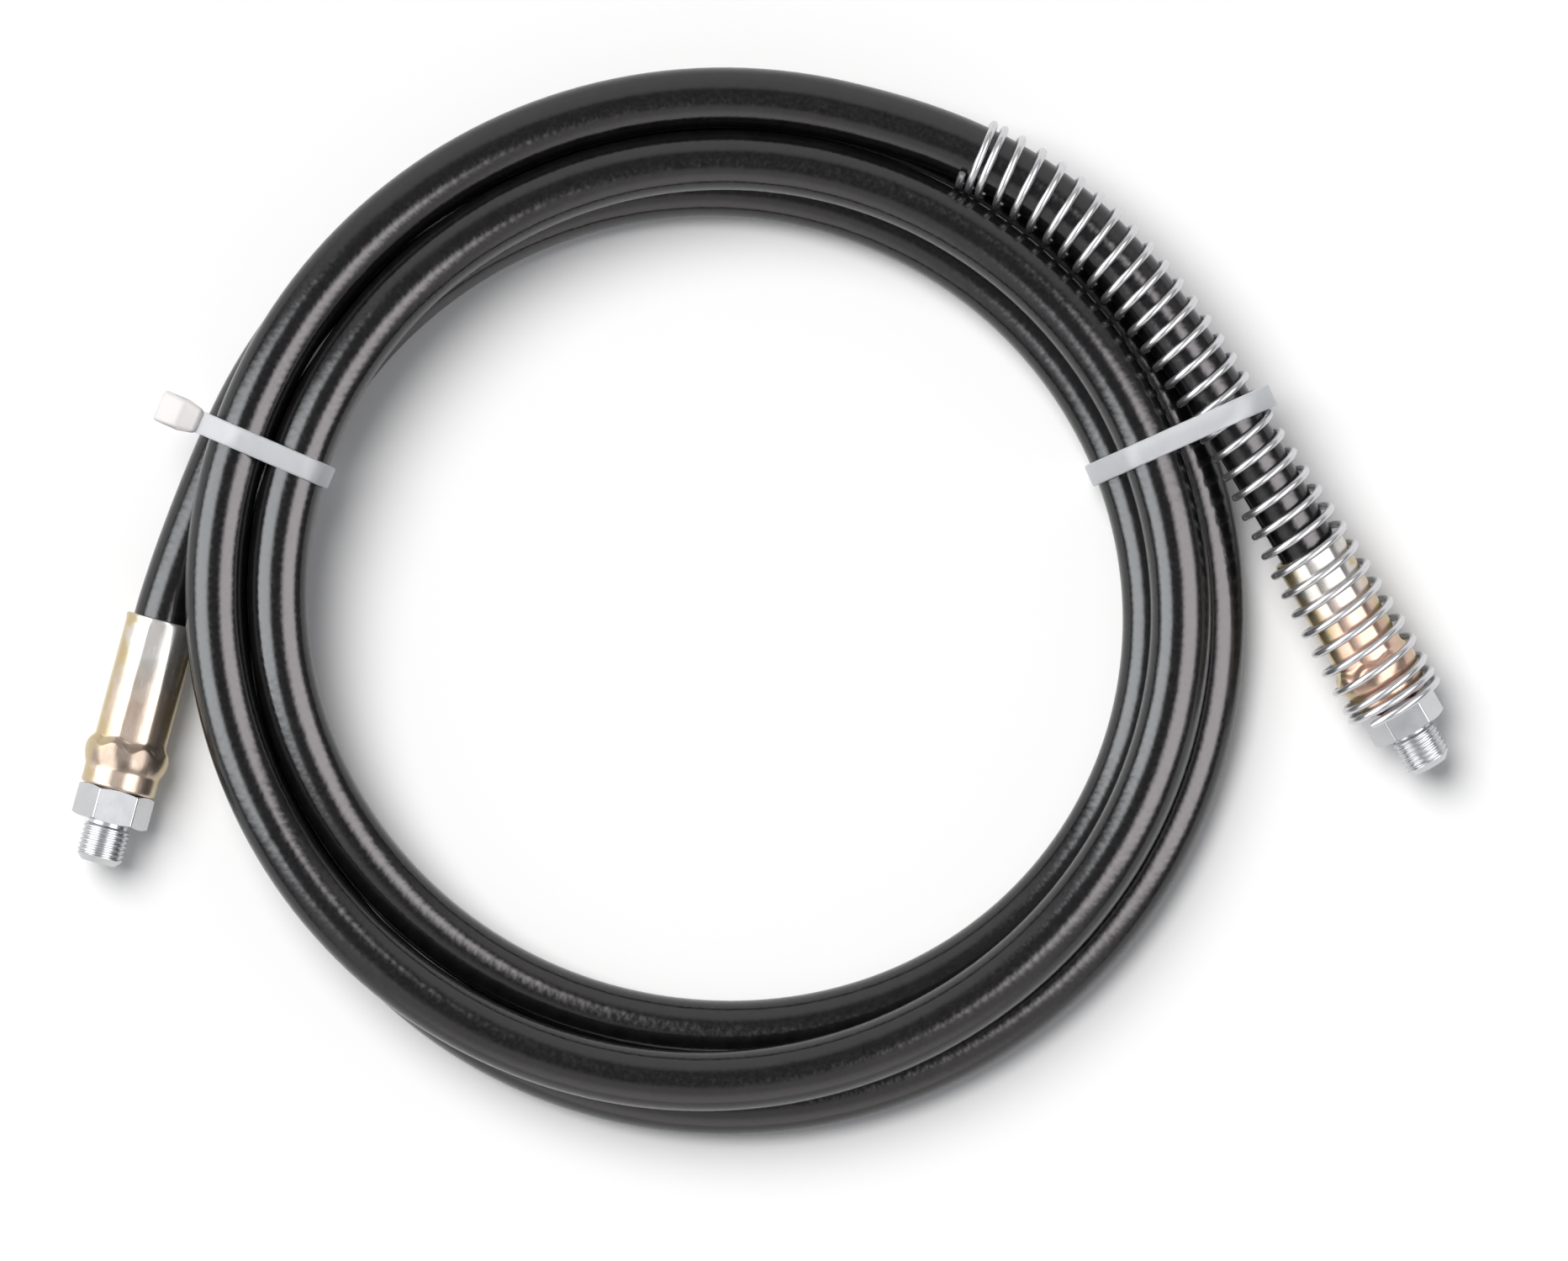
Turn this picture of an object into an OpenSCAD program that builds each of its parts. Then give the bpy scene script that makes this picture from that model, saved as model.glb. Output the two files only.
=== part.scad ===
/* [Hose] */
// Bore of the hose
hose_bore = 8; // [6.5:0.5:10]
// Wall of the rubber inner tube
tube_wall = 1.2; // [0.9:0.1:2]
// Thickness of each wire braid
braid_wall = 0.7; // [0.5:0.05:1]
// Rubber between the two braids
friction_wall = 0.4; // [0.3:0.05:0.8]
// Wall of the outer cover
cover_wall = 1.4; // [1:0.1:2.5]

/* [Coil] */
// Radius of the innermost loop, to the middle of the hose
coil_r = 115.8; // [105:0.1:160]
// Gap between neighbouring loops and between the two layers
loop_gap = 0.65; // [0.6:0.05:2]
// How much further the loops reach left and right than up and down
coil_oval = 0.9; // [0:0.1:2]
// Loops in the upper layer, which winds inwards from the spring end
upper_loops = 1.54; // [1.45:0.01:1.6]
// Loops in the lower layer, which winds outwards again
lower_loops = 1.68; // [1.6:0.01:1.72]
// How far the lower layer lies towards the front of the upper one
lower_front = 7; // [0:0.1:8]
// How far the lower layer lies to the right of the upper one
lower_right = 1.2; // [0:0.1:2]

/* [Hose ends] */
// Angle round the coil from the upper layer's start to the mouth of ferrule B
tail_b_turn = 70.2; // [67:0.1:75]
// How far the mouth of ferrule B lies outside the upper layer's start
tail_b_out = 24.2; // [20:0.1:30]
// How far end B points away from the coil, in degrees
tail_b_flare = 24.4; // [20:0.1:32]
// How far end B points down to the floor, in degrees
tail_b_dip = 6.5; // [4:0.5:8]
// Angle round the coil from the lower layer's end to the mouth of ferrule A
tail_a_turn = 26.8; // [25:0.1:34]
// How far the mouth of ferrule A lies outside the lower layer's end
tail_a_out = 7.8; // [6:0.1:14]
// How far end A points away from the coil, in degrees
tail_a_flare = 16.7; // [12:0.1:22]

/* [Ferrules] */
// Wall of the crimped sleeve
ferrule_wall = 1.8; // [1.4:0.1:2.4]
// Length that the dies crimp
crimp_len = 34.5; // [28:0.5:42]
// Length of the bulge past the dies
bulge_len = 9.3; // [7:0.1:12]
// How far the bulge stands out of the crimped length
bulge_rise = 1.55; // [0.8:0.05:2.5]
// Length of the neck that locks onto the insert
neck_len = 5; // [4:0.5:7]
// How far the dies flatten the sleeve at the middle of each face
crimp_flat = 0.35; // [0.1:0.05:0.5]
// Gap between a crimped or locked piece and what it grips
grip_gap = 0.15; // [0.1:0.05:0.25]

/* [Inserts] */
// Wall of the barbed tail
tail_wall = 1.35; // [1.1:0.05:1.5]
// Depth of the barbs
barb_depth = 0.35; // [0.2:0.05:0.5]
// Distance from one barb to the next
barb_pitch = 4.5; // [3:0.5:6]
// Diameter of the insert's collar behind the hose
collar_d = 13.4; // [13:0.1:14.5]
// Depth of the groove that the ferrule's neck locks into
lock_depth = 1; // [0.6:0.1:1.4]
// Hexagon across its flats
hex_af = 19; // [17:1:22]
// Length of the hexagon
hex_len = 9.3; // [7:0.1:12]
// Outer diameter of the parallel pipe thread
thread_d = 13.157; // [12.5:0.001:14]
// Length of the thread and its relief
thread_len = 11.7; // [10:0.1:15]
// Length of the chamfer on the thread's tip
tip_chamfer = 1.8; // [1:0.1:2.5]
// Diameter of the sealing cone's mouth
cone_d = 8.4; // [7.5:0.1:9]

/* [Guard spring] */
// Diameter of the spring wire
wire_d = 2.2; // [1.8:0.1:2.4]
// Turns of the spring, with the close turns at its ends
spring_turns = 34; // [28:1:36]
// Close turns at each end
close_turns = 2; // [1:1:3]
// Length of hose that the spring covers
spring_on_hose = 147; // [130:1:160]
// Gap between the spring and the hose or ferrule that it grips
spring_fit = 0.2; // [0.15:0.05:0.4]
// Gap between the spring's wide end and the bulge inside it
spring_flare = 0.8; // [0.6:0.1:1.6]
// Length of hose over which the spring widens towards the ferrule
spring_taper = 30; // [20:1:40]

/* [Cable ties] */
// Width of the strap
tie_w = 6.3; // [3.6:0.1:8]
// Thickness of the strap
tie_t = 1.2; // [1:0.1:1.5]
// Gap between the strap and the hose
tie_fit = 0.25; // [0.15:0.05:0.5]
// Length of the tie's head along the strap
head_l = 12; // [9:0.1:14]
// Width of the tie's head
head_w = 9.2; // [8:0.1:12]
// Thickness of the tie's head
head_t = 5.2; // [4:0.1:6]
// How far the strap turns away from the coil's radius, in degrees
tie_skew = 4.5; // [0:0.5:8]
// Angle round the coil from the lower layer's end to tie A
tie_a_turn = 6.4; // [4:0.1:12]
// Angle round the coil from the upper layer's start to tie B
tie_b_turn = 56.1; // [53:0.1:60]
// How far the slot in the head of tie A stands off the hose
head_off = 7.4; // [6:0.1:9]

/* [Hidden] */
$fn = 64;

// Faces of the wound forms
sides = 6;
loop_rings = 24;
curl_rings = 8;
steps_between_rings = 4;
min_gap = 0.4;

// Radii of the hose's layers, from the bore outwards
bore_r = hose_bore / 2;
tube_r = bore_r + tube_wall;
inner_braid_r = tube_r + braid_wall;
friction_r = inner_braid_r + friction_wall;
outer_braid_r = friction_r + braid_wall;
hose_r = outer_braid_r + cover_wall;
hose_od = 2 * hose_r;
layer_gap = 0.05;

// Ferrule and insert, measured along the axis from the ferrule's mouth
seat_gap = 0.2;
ferrule_bore_r = hose_r + grip_gap;
ferrule_r = ferrule_bore_r + ferrule_wall;
bulge_r = ferrule_r + bulge_rise;
neck_r = ferrule_r + bulge_rise / 5;
bulge_at = crimp_len;
neck_at = bulge_at + bulge_len;
ferrule_len = neck_at + neck_len;
mouth_chamfer = 0.6;
neck_chamfer = 0.5;
shoulder_len = 3;
shoulder_drop = 0.4;
dies_margin = 1.5;
dies_turn_a = -3.5;
dies_turn_b = -6.5;
ridge_pitch = 4;
ridge_w = 1.2;
ridge_deep = 0.4;
hose_past_dies = 1.5;
hose_in = crimp_len + hose_past_dies;
chamber_end = neck_at - 0.5;
tail_at = 3;
tail_r = bore_r - grip_gap;
flow_r = tail_r - tail_wall;
barb_land = 0.8;
barb_back = 0.01;
barb_margin = 2;
collar_at = hose_in + seat_gap;
collar_r = collar_d / 2;
collar_chamfer = 0.3;
lock_r = collar_r - lock_depth;
lock_margin = 0.6;
hex_at = ferrule_len + seat_gap;
hex_chamfer = 1;
hex_turn_a = -6.6;
hex_corner_r = hex_af / 2 / cos(30);
thread_at = hex_at + hex_len;
thread_r = thread_d / 2;
relief_len = 1.2;
relief_run = 0.4;
relief_r = thread_r - 0.95;
tip_at = thread_at + thread_len;
tip_r = thread_r - 1.75;
cone_deg = 30;

// Spring, measured along the hose from the mouth of ferrule B
wire_r = wire_d / 2;
spring_over_hex = 1.7;
spring_end = hex_at + spring_over_hex;
close_gap = 0.9;
close_pitch = wire_d + close_gap;
close_len = close_turns * close_pitch;
open_pitch = (spring_on_hose + spring_end - 2 * close_len) / (spring_turns - 2 * close_turns);
spring_end_r = max(bulge_r + spring_flare, hex_corner_r + spring_fit) + wire_r;
spring_radii = [[-spring_end, spring_end_r], [0, ferrule_r + spring_fit + wire_r],
                [spring_taper, hose_r + spring_fit + wire_r]];

// Coil
loop_pitch = hose_od + loop_gap;
lower_z = hose_r;
turn_back = 270;
start_deg = turn_back - 360 * upper_loops;
end_deg = turn_back + 360 * lower_loops;
turn_round = 0.05;
drop_from = -120;
drop_over = 150;
shift_from = -90;
shift_over = 200;
tie_ease = tie_fit + tie_w / 2 * tan(tie_skew);
tie_lift = tie_t + tie_ease;
tie_lift_reach = 45;
tie_lift_run = 35;
head_block = 6.8;
head_chamfer = 0.6;
head_neck = 0.6 * head_t;
neck_taper = 2;
slot_at = head_l - head_block / 2;
stub = 0.8;
tie_a_deg = end_deg + tie_a_turn;
tie_b_deg = start_deg - tie_b_turn;

function smooth(x) = let (t = min(1, max(0, x))) t * t * t * (t * (6 * t - 15) + 10);
function unit(v) = v / norm(v);
function polar(r, a) = [r * cos(a), r * sin(a), 0];
function turned(a) = (a % 360 + 540) % 360 - 180;
function lift_near(a) = tie_lift * smooth((tie_lift_reach - abs(a)) / tie_lift_run);
function lift(a) = lift_near(turned(a - tie_a_deg)) + lift_near(turned(a - tie_b_deg));

// Distance of the hose from the coil's middle: it winds in, turns back and winds out
function loop_r(a) = coil_r + loop_pitch * norm([(a - turn_back) / 360, turn_round])
                     + coil_oval * cos(2 * a);
// Middle of the hose at an angle round the coil
function loop_point(a) =
    let (low = smooth((a - turn_back - drop_from) / drop_over),
         shifted = smooth((a - turn_back - shift_from) / shift_over))
    polar(loop_r(a), a) + shifted * [lower_right, -lower_front, 0]
    + [0, 0, lower_z + loop_pitch * (1 - low) + lift(a)];
function loop_heading(a) = unit(loop_point(a + 0.5) - loop_point(a - 0.5));

// Mouths of the ferrules, and the way that each end points
dip_b = [cos(tail_b_dip), sin(tail_b_dip)];
spring_foot = (spring_end_r + wire_r) * dip_b[0] + spring_end * dip_b[1];
mouth_b_deg = start_deg - tail_b_turn;
mouth_b = polar(loop_r(start_deg) + tail_b_out, mouth_b_deg) + [0, 0, spring_foot];
heading_b = mouth_b_deg - 90 + tail_b_flare;
axis_b = [dip_b[0] * cos(heading_b), dip_b[0] * sin(heading_b), -dip_b[1]];
mouth_a_deg = end_deg + tail_a_turn;
mouth_a = polar(loop_r(end_deg) + tail_a_out, mouth_a_deg) + [0, 0, bulge_r];
heading_a = mouth_a_deg + 90 - tail_a_flare;
axis_a = polar(1, heading_a);

// Free ends of the hose: smooth curves from the coil into the ferrules
function curve(p, t) = pow(1 - t, 3) * p[0] + 3 * pow(1 - t, 2) * t * p[1]
                       + 3 * (1 - t) * t * t * p[2] + t * t * t * p[3];
function curve_heading(p, t) = unit((1 - t) * (1 - t) * (p[1] - p[0])
                               + 2 * (1 - t) * t * (p[2] - p[1]) + t * t * (p[3] - p[2]));
function handles(p, p_dir, q, q_dir, p_share, q_share) =
    let (d = norm(q - p)) [p, p + d * p_share * p_dir, q - d * q_share * q_dir, q];
tail_b = handles(mouth_b, -axis_b, loop_point(start_deg), loop_heading(start_deg), 0.55, 0.35);
tail_a = handles(loop_point(end_deg), loop_heading(end_deg), mouth_a, axis_a, 0.25, 0.25);
tail_b_rings = 6;
tail_a_rings = 3;

// Angles of the coil's rings: the same on every loop, with one more under each tie
ring_step = 360 / loop_rings;
coil_rings = ceil((end_deg - start_deg) / ring_step);
function ties_after(a) = [for (t = [tie_a_deg, tie_b_deg])
    let (past = t - a - 360 * floor((t - a) / 360))
    if (past > 0 && past < ring_step && a + past < end_deg) a + past];
ring_degs = concat([for (i = [0 : coil_rings - 1]) let (a = start_deg + i * ring_step)
    each concat([a], ties_after(a))], [end_deg]);
fine_rings = coil_rings * steps_between_rings;
fine_degs = [for (i = [0 : fine_rings]) start_deg + (end_deg - start_deg) * i / fine_rings];

// The hose's middle line outside the ferrules, each point with its heading
function line_points(degs, n) = concat(
    [for (i = [0 : tail_b_rings * n - 1]) let (t = i / (tail_b_rings * n))
        [curve(tail_b, t), curve_heading(tail_b, t)]],
    [for (a = degs) [loop_point(a), loop_heading(a)]],
    [for (i = [1 : tail_a_rings * n]) let (t = i / (tail_a_rings * n))
        [curve(tail_a, t), curve_heading(tail_a, t)]]);
ring_line = concat([[mouth_b + hose_in * axis_b, -axis_b]], line_points(ring_degs, 1),
                   [[mouth_a + hose_in * axis_a, axis_a]]);
fine_line = [for (p = line_points(fine_degs, steps_between_rings)) p[0]];
fine_last = len(fine_line) - 1;
fine_steps = [for (i = [1 : fine_last]) norm(fine_line[i] - fine_line[i - 1])];
run = [for (i = 0, s = 0; i <= fine_last; s = s + (i < fine_last ? fine_steps[i] : 0), i = i + 1) s];
run_x = [for (i = [0 : fine_last]) [run[i], fine_line[i][0]]];
run_y = [for (i = [0 : fine_last]) [run[i], fine_line[i][1]]];
run_z = [for (i = [0 : fine_last]) [run[i], fine_line[i][2]]];
// Point on the middle line at a distance from the mouth of ferrule B, less than 0 inside it
function at(s) = s < 0 ? mouth_b - s * axis_b : [lookup(s, run_x), lookup(s, run_y), lookup(s, run_z)];
function heading_at(s) = unit(at(s + 1) - at(s - 1));

// Least gap between the hose and itself, on the points of its middle line
apart = 4 * hose_od;
hose_gap = min([for (i = [0 : fine_last]) for (j = [i + 1 : fine_last])
    if (run[j] - run[i] > apart) norm(fine_line[i] - fine_line[j])]) - hose_od;

// A ring of points round a place on a line; the first point lies towards up
function ring(p, heading, r, up = [0, 0, 1]) =
    let (side = unit(cross(heading, up)), top = cross(side, heading))
    [for (k = [0 : sides - 1]) p + r * (cos(360 * k / sides) * top + sin(360 * k / sides) * side)];
function flat(lists) = [for (l = lists) for (p = l) p];
// Faces between rings, two triangles to a side
function skin(n, from, out) = [for (i = [0 : n - 2]) for (k = [0 : sides - 1])
    let (a = from + i * sides + k, b = from + i * sides + (k + 1) % sides, c = a + sides, d = b + sides)
    for (f = out ? [[a, c, b], [b, c, d]] : [[a, b, c], [b, d, c]]) f];
function cap(from, out) = [for (k = [1 : sides - 2])
    out ? [from, from + k, from + k + 1] : [from, from + k + 1, from + k]];
function rim(from, to, out) = [for (k = [0 : sides - 1])
    let (a = from + k, b = from + (k + 1) % sides, c = to + k, d = to + (k + 1) % sides)
    for (f = out ? [[a, b, c], [b, d, c]] : [[a, c, b], [b, c, d]]) f];

// The bore's flats and the cover's corners lie at their true radii, the layers between
bore_corner = bore_r / cos(180 / sides);
function corner(r) = bore_corner + (r - bore_r) * (hose_r - bore_corner) / (hose_r - bore_r);

module hose_layer(r_in, r_out) {
    n = len(ring_line);
    outer = flat([for (p = ring_line) ring(p[0], p[1], corner(r_out))]);
    inner = flat([for (p = ring_line) ring(p[0], p[1], corner(r_in))]);
    end = (n - 1) * sides;
    polyhedron(concat(outer, inner), concat(
        skin(n, 0, true), skin(n, n * sides, false),
        rim(0, n * sides, true), rim(end, n * sides + end, false)), convexity = 10);
}

// Spring: distance along the hose after a number of turns from the hexagon end
function spring_s(t) = -spring_end + (t < close_turns ? t * close_pitch
    : t < spring_turns - close_turns ? close_len + (t - close_turns) * open_pitch
    : spring_on_hose + spring_end - (spring_turns - t) * close_pitch);
function spring_ring_r(s) = lookup(s, spring_radii) / cos(180 / curl_rings);
function spring_dir(s, a) =
    let (h = heading_at(s), side = unit(cross(h, [0, 0, 1])), top = cross(side, h))
    cos(a) * top + sin(a) * side;
spring_line = [for (i = [0 : spring_turns * curl_rings])
    let (t = i / curl_rings, s = spring_s(t), d = spring_dir(s, (t - 0.5 / curl_rings) * 360))
    [at(s) + spring_ring_r(s) * d, cross(heading_at(s), d), d]];
spring_gap = min([for (i = [0 : len(spring_line) - curl_rings - 2]) for (j = [-1 : 1])
    norm(spring_line[i][0] - spring_line[i + curl_rings + j][0])]) - wire_d;

// Least gap between the spring and the hose's other strands
past_spring = [for (i = [0 : fine_last]) if (run[i] > spring_on_hose + apart) fine_line[i]];
spring_clear = min([for (i = [1 : len(spring_line) - 1])
    for (p = [spring_line[i][0], (spring_line[i - 1][0] + spring_line[i][0]) / 2]) for (q = past_spring)
        norm(p - q)]) - wire_r - hose_r;

echo(hose_gap = hose_gap, spring_gap = spring_gap, spring_clear = spring_clear, least = min_gap);
echo(hose_length = run[fine_last] + 2 * hose_in, hose_od = hose_od, flow_bore = 2 * flow_r);

// Where the hose crosses the upright plane of a tie: along the tie, height, and the radius that
// the strap clears over its whole width
function outer_r(s) = s < spring_on_hose + wire_d
    ? lookup(s, spring_radii) / cos(180 / curl_rings) + wire_r : hose_r;
function crossings(spot, along) =
    let (normal = [-along[1], along[0], 0])
    [for (i = [1 : fine_last])
        let (p = fine_line[i - 1] - spot, q = fine_line[i] - spot, u = p * normal, v = q * normal)
        if (u * v <= 0 && norm(p) < coil_r)
        let (m = p + (q - p) * u / (u - v), slant = abs((q - p) * along / (v - u)))
        [m * along, m[2], outer_r(run[i]) + max(0, tie_w / 2 * (slant - tan(tie_skew)))]];
function tie_spot(a) = polar(loop_r(turn_back) + loop_pitch / 2, a);
function tie_along(a, skew) = polar(1, a + skew);

// The whole part's middle, seen from above, lies on the frame's origin
function disc_reach(p, axis, s, r, i) = [for (e = [-1, 1]) (p + s * axis)[i] + e * r * sqrt(1 - axis[i] * axis[i])];
function end_reach(p, axis, i) = concat(
    disc_reach(p, axis, neck_at, bulge_r, i), disc_reach(p, axis, hex_at + hex_chamfer / 2, hex_corner_r, i),
    disc_reach(p, axis, thread_at - hex_chamfer / 2, hex_corner_r, i),
    disc_reach(p, axis, tip_at - tip_chamfer, thread_r, i), disc_reach(p, axis, tip_at, tip_r, i));
cover_points = flat([for (p = ring_line) ring(p[0], p[1], hose_r)]);
function reach(i) = concat([for (p = cover_points) p[i]], end_reach(mouth_a, axis_a, i),
                           end_reach(mouth_b, axis_b, i));
middle = [(min(reach(0)) + max(reach(0))) / 2, (min(reach(1)) + max(reach(1))) / 2, 0];
echo(middle = middle);
echo(mouth_a = mouth_a - middle, axis_a = axis_a, mouth_b = mouth_b - middle, axis_b = axis_b);
echo(thread_from = thread_at + relief_len + relief_run, thread_to = tip_at - tip_chamfer);

module at_end(p, heading, dip, turn) {
    translate(p) rotate([0, 90 + dip, heading]) rotate([0, 0, turn]) children();
}

// Ridges inside the sleeve that bite into the cover
module crimp_ridges() {
    for (s = [ridge_pitch : ridge_pitch : crimp_len - ridge_pitch])
        translate([ferrule_bore_r, s - ridge_w]) square([ridge_deep, ridge_w]);
}

module sleeve_outline() {
    polygon([
        [0, 0], [ferrule_r - mouth_chamfer, 0], [ferrule_r, mouth_chamfer],
        [ferrule_r, bulge_at], [bulge_r - shoulder_drop, bulge_at + shoulder_len / 2],
        [bulge_r, bulge_at + shoulder_len], [bulge_r, neck_at - shoulder_len],
        [bulge_r - shoulder_drop, neck_at - shoulder_len / 2], [neck_r, neck_at],
        [neck_r, ferrule_len - neck_chamfer], [neck_r - neck_chamfer, ferrule_len], [0, ferrule_len]]);
}

module sleeve_bore() {
    lock_bore_r = lock_r + grip_gap;
    chamber_r = bulge_r - ferrule_wall;
    polygon([
        [0, -mouth_chamfer], [ferrule_bore_r, -mouth_chamfer], [ferrule_bore_r, hose_in + seat_gap],
        [chamber_r, bulge_at + shoulder_len], [chamber_r, neck_at - shoulder_len],
        [collar_r + grip_gap, chamber_end], [lock_bore_r, chamber_end],
        [lock_bore_r, ferrule_len + neck_chamfer],
        [0, ferrule_len + neck_chamfer]]);
    crimp_ridges();
}

// Flats that the eight crimping dies leave
module die_flats() {
    for (k = [0 : 7]) rotate([0, 0, 45 * k])
        translate([ferrule_r - crimp_flat, -ferrule_r, dies_margin])
            cube([ferrule_wall, 2 * ferrule_r, crimp_len - 2 * dies_margin]);
}

module ferrule() {
    color([0.80, 0.74, 0.55]) difference() {
        rotate_extrude() sleeve_outline();
        rotate_extrude() sleeve_bore();
        die_flats();
    }
}

module insert_body() {
    barbs = floor((hose_in - tail_at - barb_margin) / barb_pitch);
    root_r = tail_r - barb_depth;
    barb_line = flat([for (i = [0 : barbs - 1]) let (s = tail_at + i * barb_pitch)
        [[root_r, s], [tail_r, s + barb_pitch - barb_land], [tail_r, s + barb_pitch - barb_back]]]);
    cone_deep = (cone_d / 2 - flow_r) / tan(cone_deg);
    rotate_extrude() polygon(concat([[flow_r, tail_at]], barb_line, [
        [root_r, tail_at + barbs * barb_pitch], [root_r, collar_at],
        [collar_r - collar_chamfer, collar_at], [collar_r, collar_at + collar_chamfer],
        [collar_r, neck_at - lock_margin], [lock_r, neck_at - lock_margin],
        [lock_r, hex_at + hex_chamfer], [relief_r, hex_at + hex_chamfer],
        [relief_r, thread_at + relief_len], [thread_r, thread_at + relief_len + relief_run],
        [thread_r, tip_at - tip_chamfer], [tip_r, tip_at],
        [cone_d / 2, tip_at], [flow_r, tip_at - cone_deep]]));
}

module hexagon() {
    turned_r = hex_corner_r + hex_chamfer;
    difference() {
        intersection() {
            translate([0, 0, hex_at]) rotate([0, 0, 30]) cylinder(r = hex_corner_r, h = hex_len, $fn = 6);
            rotate_extrude() polygon([
                [0, hex_at], [hex_af / 2, hex_at], [turned_r, hex_at + hex_chamfer],
                [turned_r, thread_at - hex_chamfer], [hex_af / 2, thread_at], [0, thread_at]]);
        }
        translate([0, 0, hex_at - hex_chamfer]) cylinder(r = collar_r / 2, h = hex_len + 2 * hex_chamfer);
    }
}

module fitting_insert() {
    color([0.82, 0.83, 0.84]) union() {
        insert_body();
        hexagon();
    }
}

module strand_hull(strands, more) {
    hull() for (c = strands) translate(along_of(c)) circle(r = c[2] + tie_ease + more, $fn = 32);
}

module tie_band(spot, along_deg, strands) {
    translate(spot) rotate([90, 0, along_deg]) linear_extrude(tie_w, center = true) difference() {
        strand_hull(strands, tie_t);
        strand_hull(strands, 0);
    }
}

// A tie's head from the side: its inner face lies in the strap, and the origin is at the slot,
// where the strap's cut end stands out
module head_side() {
    front = head_l - slot_at;
    back = front - head_block;
    polygon([
        [-slot_at, 0], [front, 0], [front, head_t - head_chamfer], [front - head_chamfer, head_t],
        [tie_t / 2, head_t], [tie_t / 2, head_t + stub], [-tie_t / 2, head_t + stub],
        [-tie_t / 2, head_t], [back + head_chamfer, head_t], [back, head_t - head_chamfer],
        [back, head_neck], [-slot_at, head_neck]]);
}

module head_plan() {
    front = head_l - slot_at;
    taper_end = neck_taper - slot_at;
    polygon([[-slot_at, -tie_w / 2], [taper_end, -head_w / 2], [front, -head_w / 2],
             [front, head_w / 2], [taper_end, head_w / 2], [-slot_at, tie_w / 2]]);
}

module tie_head(spot, along_deg, place, normal_deg) {
    translate(spot) rotate([90, 0, along_deg]) translate(place) rotate([0, 0, normal_deg - 90])
        intersection() {
            linear_extrude(head_w, center = true) head_side();
            translate([0, head_t + stub, 0]) rotate([90, 0, 0])
                linear_extrude(head_t + stub) head_plan();
        }
}

// Outward direction of the strap's straight run from one round strand to the next, clockwise
function run_normal(p, q) =
    let (d = [q[0] - p[0], q[1] - p[1]]) atan2(d[1], d[0]) - acos((p[2] - q[2]) / norm(d));
function direction(a) = [cos(a), sin(a)];
function along_of(c) = [c[0], c[1]];
function outermost(list) = let (far = max([for (c = list) c[0] + c[2]])) [for (c = list) if (c[0] + c[2] == far) c][0];

// Tie A closes in a head beside the hose, level with the outer strand of the upper layer
tie_a_spot = tie_spot(tie_a_deg);
tie_a_along = tie_along(tie_a_deg, -tie_skew);
tie_a_strands = crossings(tie_a_spot, tie_a_along);
tie_a_high = outermost([for (c = tie_a_strands) if (c[1] > lower_z + hose_r) c]);
tie_a_slot = [max([for (c = tie_a_strands) c[0] + c[2]]) + head_off, tie_a_high[1], tie_t - tie_ease];
tie_a_normal = run_normal(tie_a_slot, tie_a_high);
tie_a_head = along_of(tie_a_slot) + 1.5 * tie_t * direction(tie_a_normal);

// Tie B closes in a head under the spring, on the slope between the outer two strands
tie_b_spot = tie_spot(tie_b_deg);
tie_b_along = tie_along(tie_b_deg, tie_skew);
tie_b_strands = crossings(tie_b_spot, tie_b_along);
tie_b_outer = outermost(tie_b_strands);
tie_b_lower = outermost([for (c = tie_b_strands) if (c[1] < lower_z + hose_r) c]);
tie_b_normal = run_normal(tie_b_lower, tie_b_outer);
tie_b_head = (along_of(tie_b_lower) + along_of(tie_b_outer)) / 2
    + ((tie_b_lower[2] + tie_b_outer[2] + tie_t) / 2 + tie_ease) * direction(tie_b_normal);

// Middle of the flat underside of tie B's strap, which the coil rests on
tie_b_foot = [for (c = tie_b_strands) if (c[1] < lower_z + hose_r) c[0]];
echo(rest_face = tie_b_spot - middle + (min(tie_b_foot) + max(tie_b_foot)) / 2 * tie_b_along);

tie_nylon = [0.90, 0.91, 0.93];

module cable_tie_a() {
    color(tie_nylon) union() {
        tie_band(tie_a_spot, tie_a_deg - tie_skew, concat(tie_a_strands, [tie_a_slot]));
        tie_head(tie_a_spot, tie_a_deg - tie_skew, tie_a_head, tie_a_normal);
    }
}

module cable_tie_b() {
    color(tie_nylon) union() {
        tie_band(tie_b_spot, tie_b_deg + tie_skew, tie_b_strands);
        tie_head(tie_b_spot, tie_b_deg + tie_skew, tie_b_head, tie_b_normal);
    }
}

module hose_cover() {
    color([0.09, 0.09, 0.10]) hose_layer(outer_braid_r, hose_r);
}

module outer_wire_braid() {
    color([0.70, 0.70, 0.72]) hose_layer(friction_r, outer_braid_r - layer_gap);
}

module friction_layer() {
    color([0.16, 0.16, 0.17]) hose_layer(inner_braid_r, friction_r - layer_gap);
}

module inner_wire_braid() {
    color([0.66, 0.66, 0.68]) hose_layer(tube_r, inner_braid_r - layer_gap);
}

module inner_tube() {
    color([0.12, 0.12, 0.13]) hose_layer(bore_r, tube_r - layer_gap);
}

module ferrule_a() {
    at_end(mouth_a, heading_a, 0, dies_turn_a) ferrule();
}

module ferrule_b() {
    at_end(mouth_b, heading_b, tail_b_dip, dies_turn_b) ferrule();
}

module fitting_insert_a() {
    at_end(mouth_a, heading_a, 0, hex_turn_a) fitting_insert();
}

module fitting_insert_b() {
    at_end(mouth_b, heading_b, tail_b_dip, 0) fitting_insert();
}

module guard_spring() {
    n = len(spring_line);
    points = flat([for (p = spring_line) ring(p[0], unit(p[1]), wire_r, p[2])]);
    color([0.75, 0.76, 0.78]) polyhedron(points,
        concat(skin(n, 0, true), cap(0, true), cap((n - 1) * sides, false)), convexity = 20);
}

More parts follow.
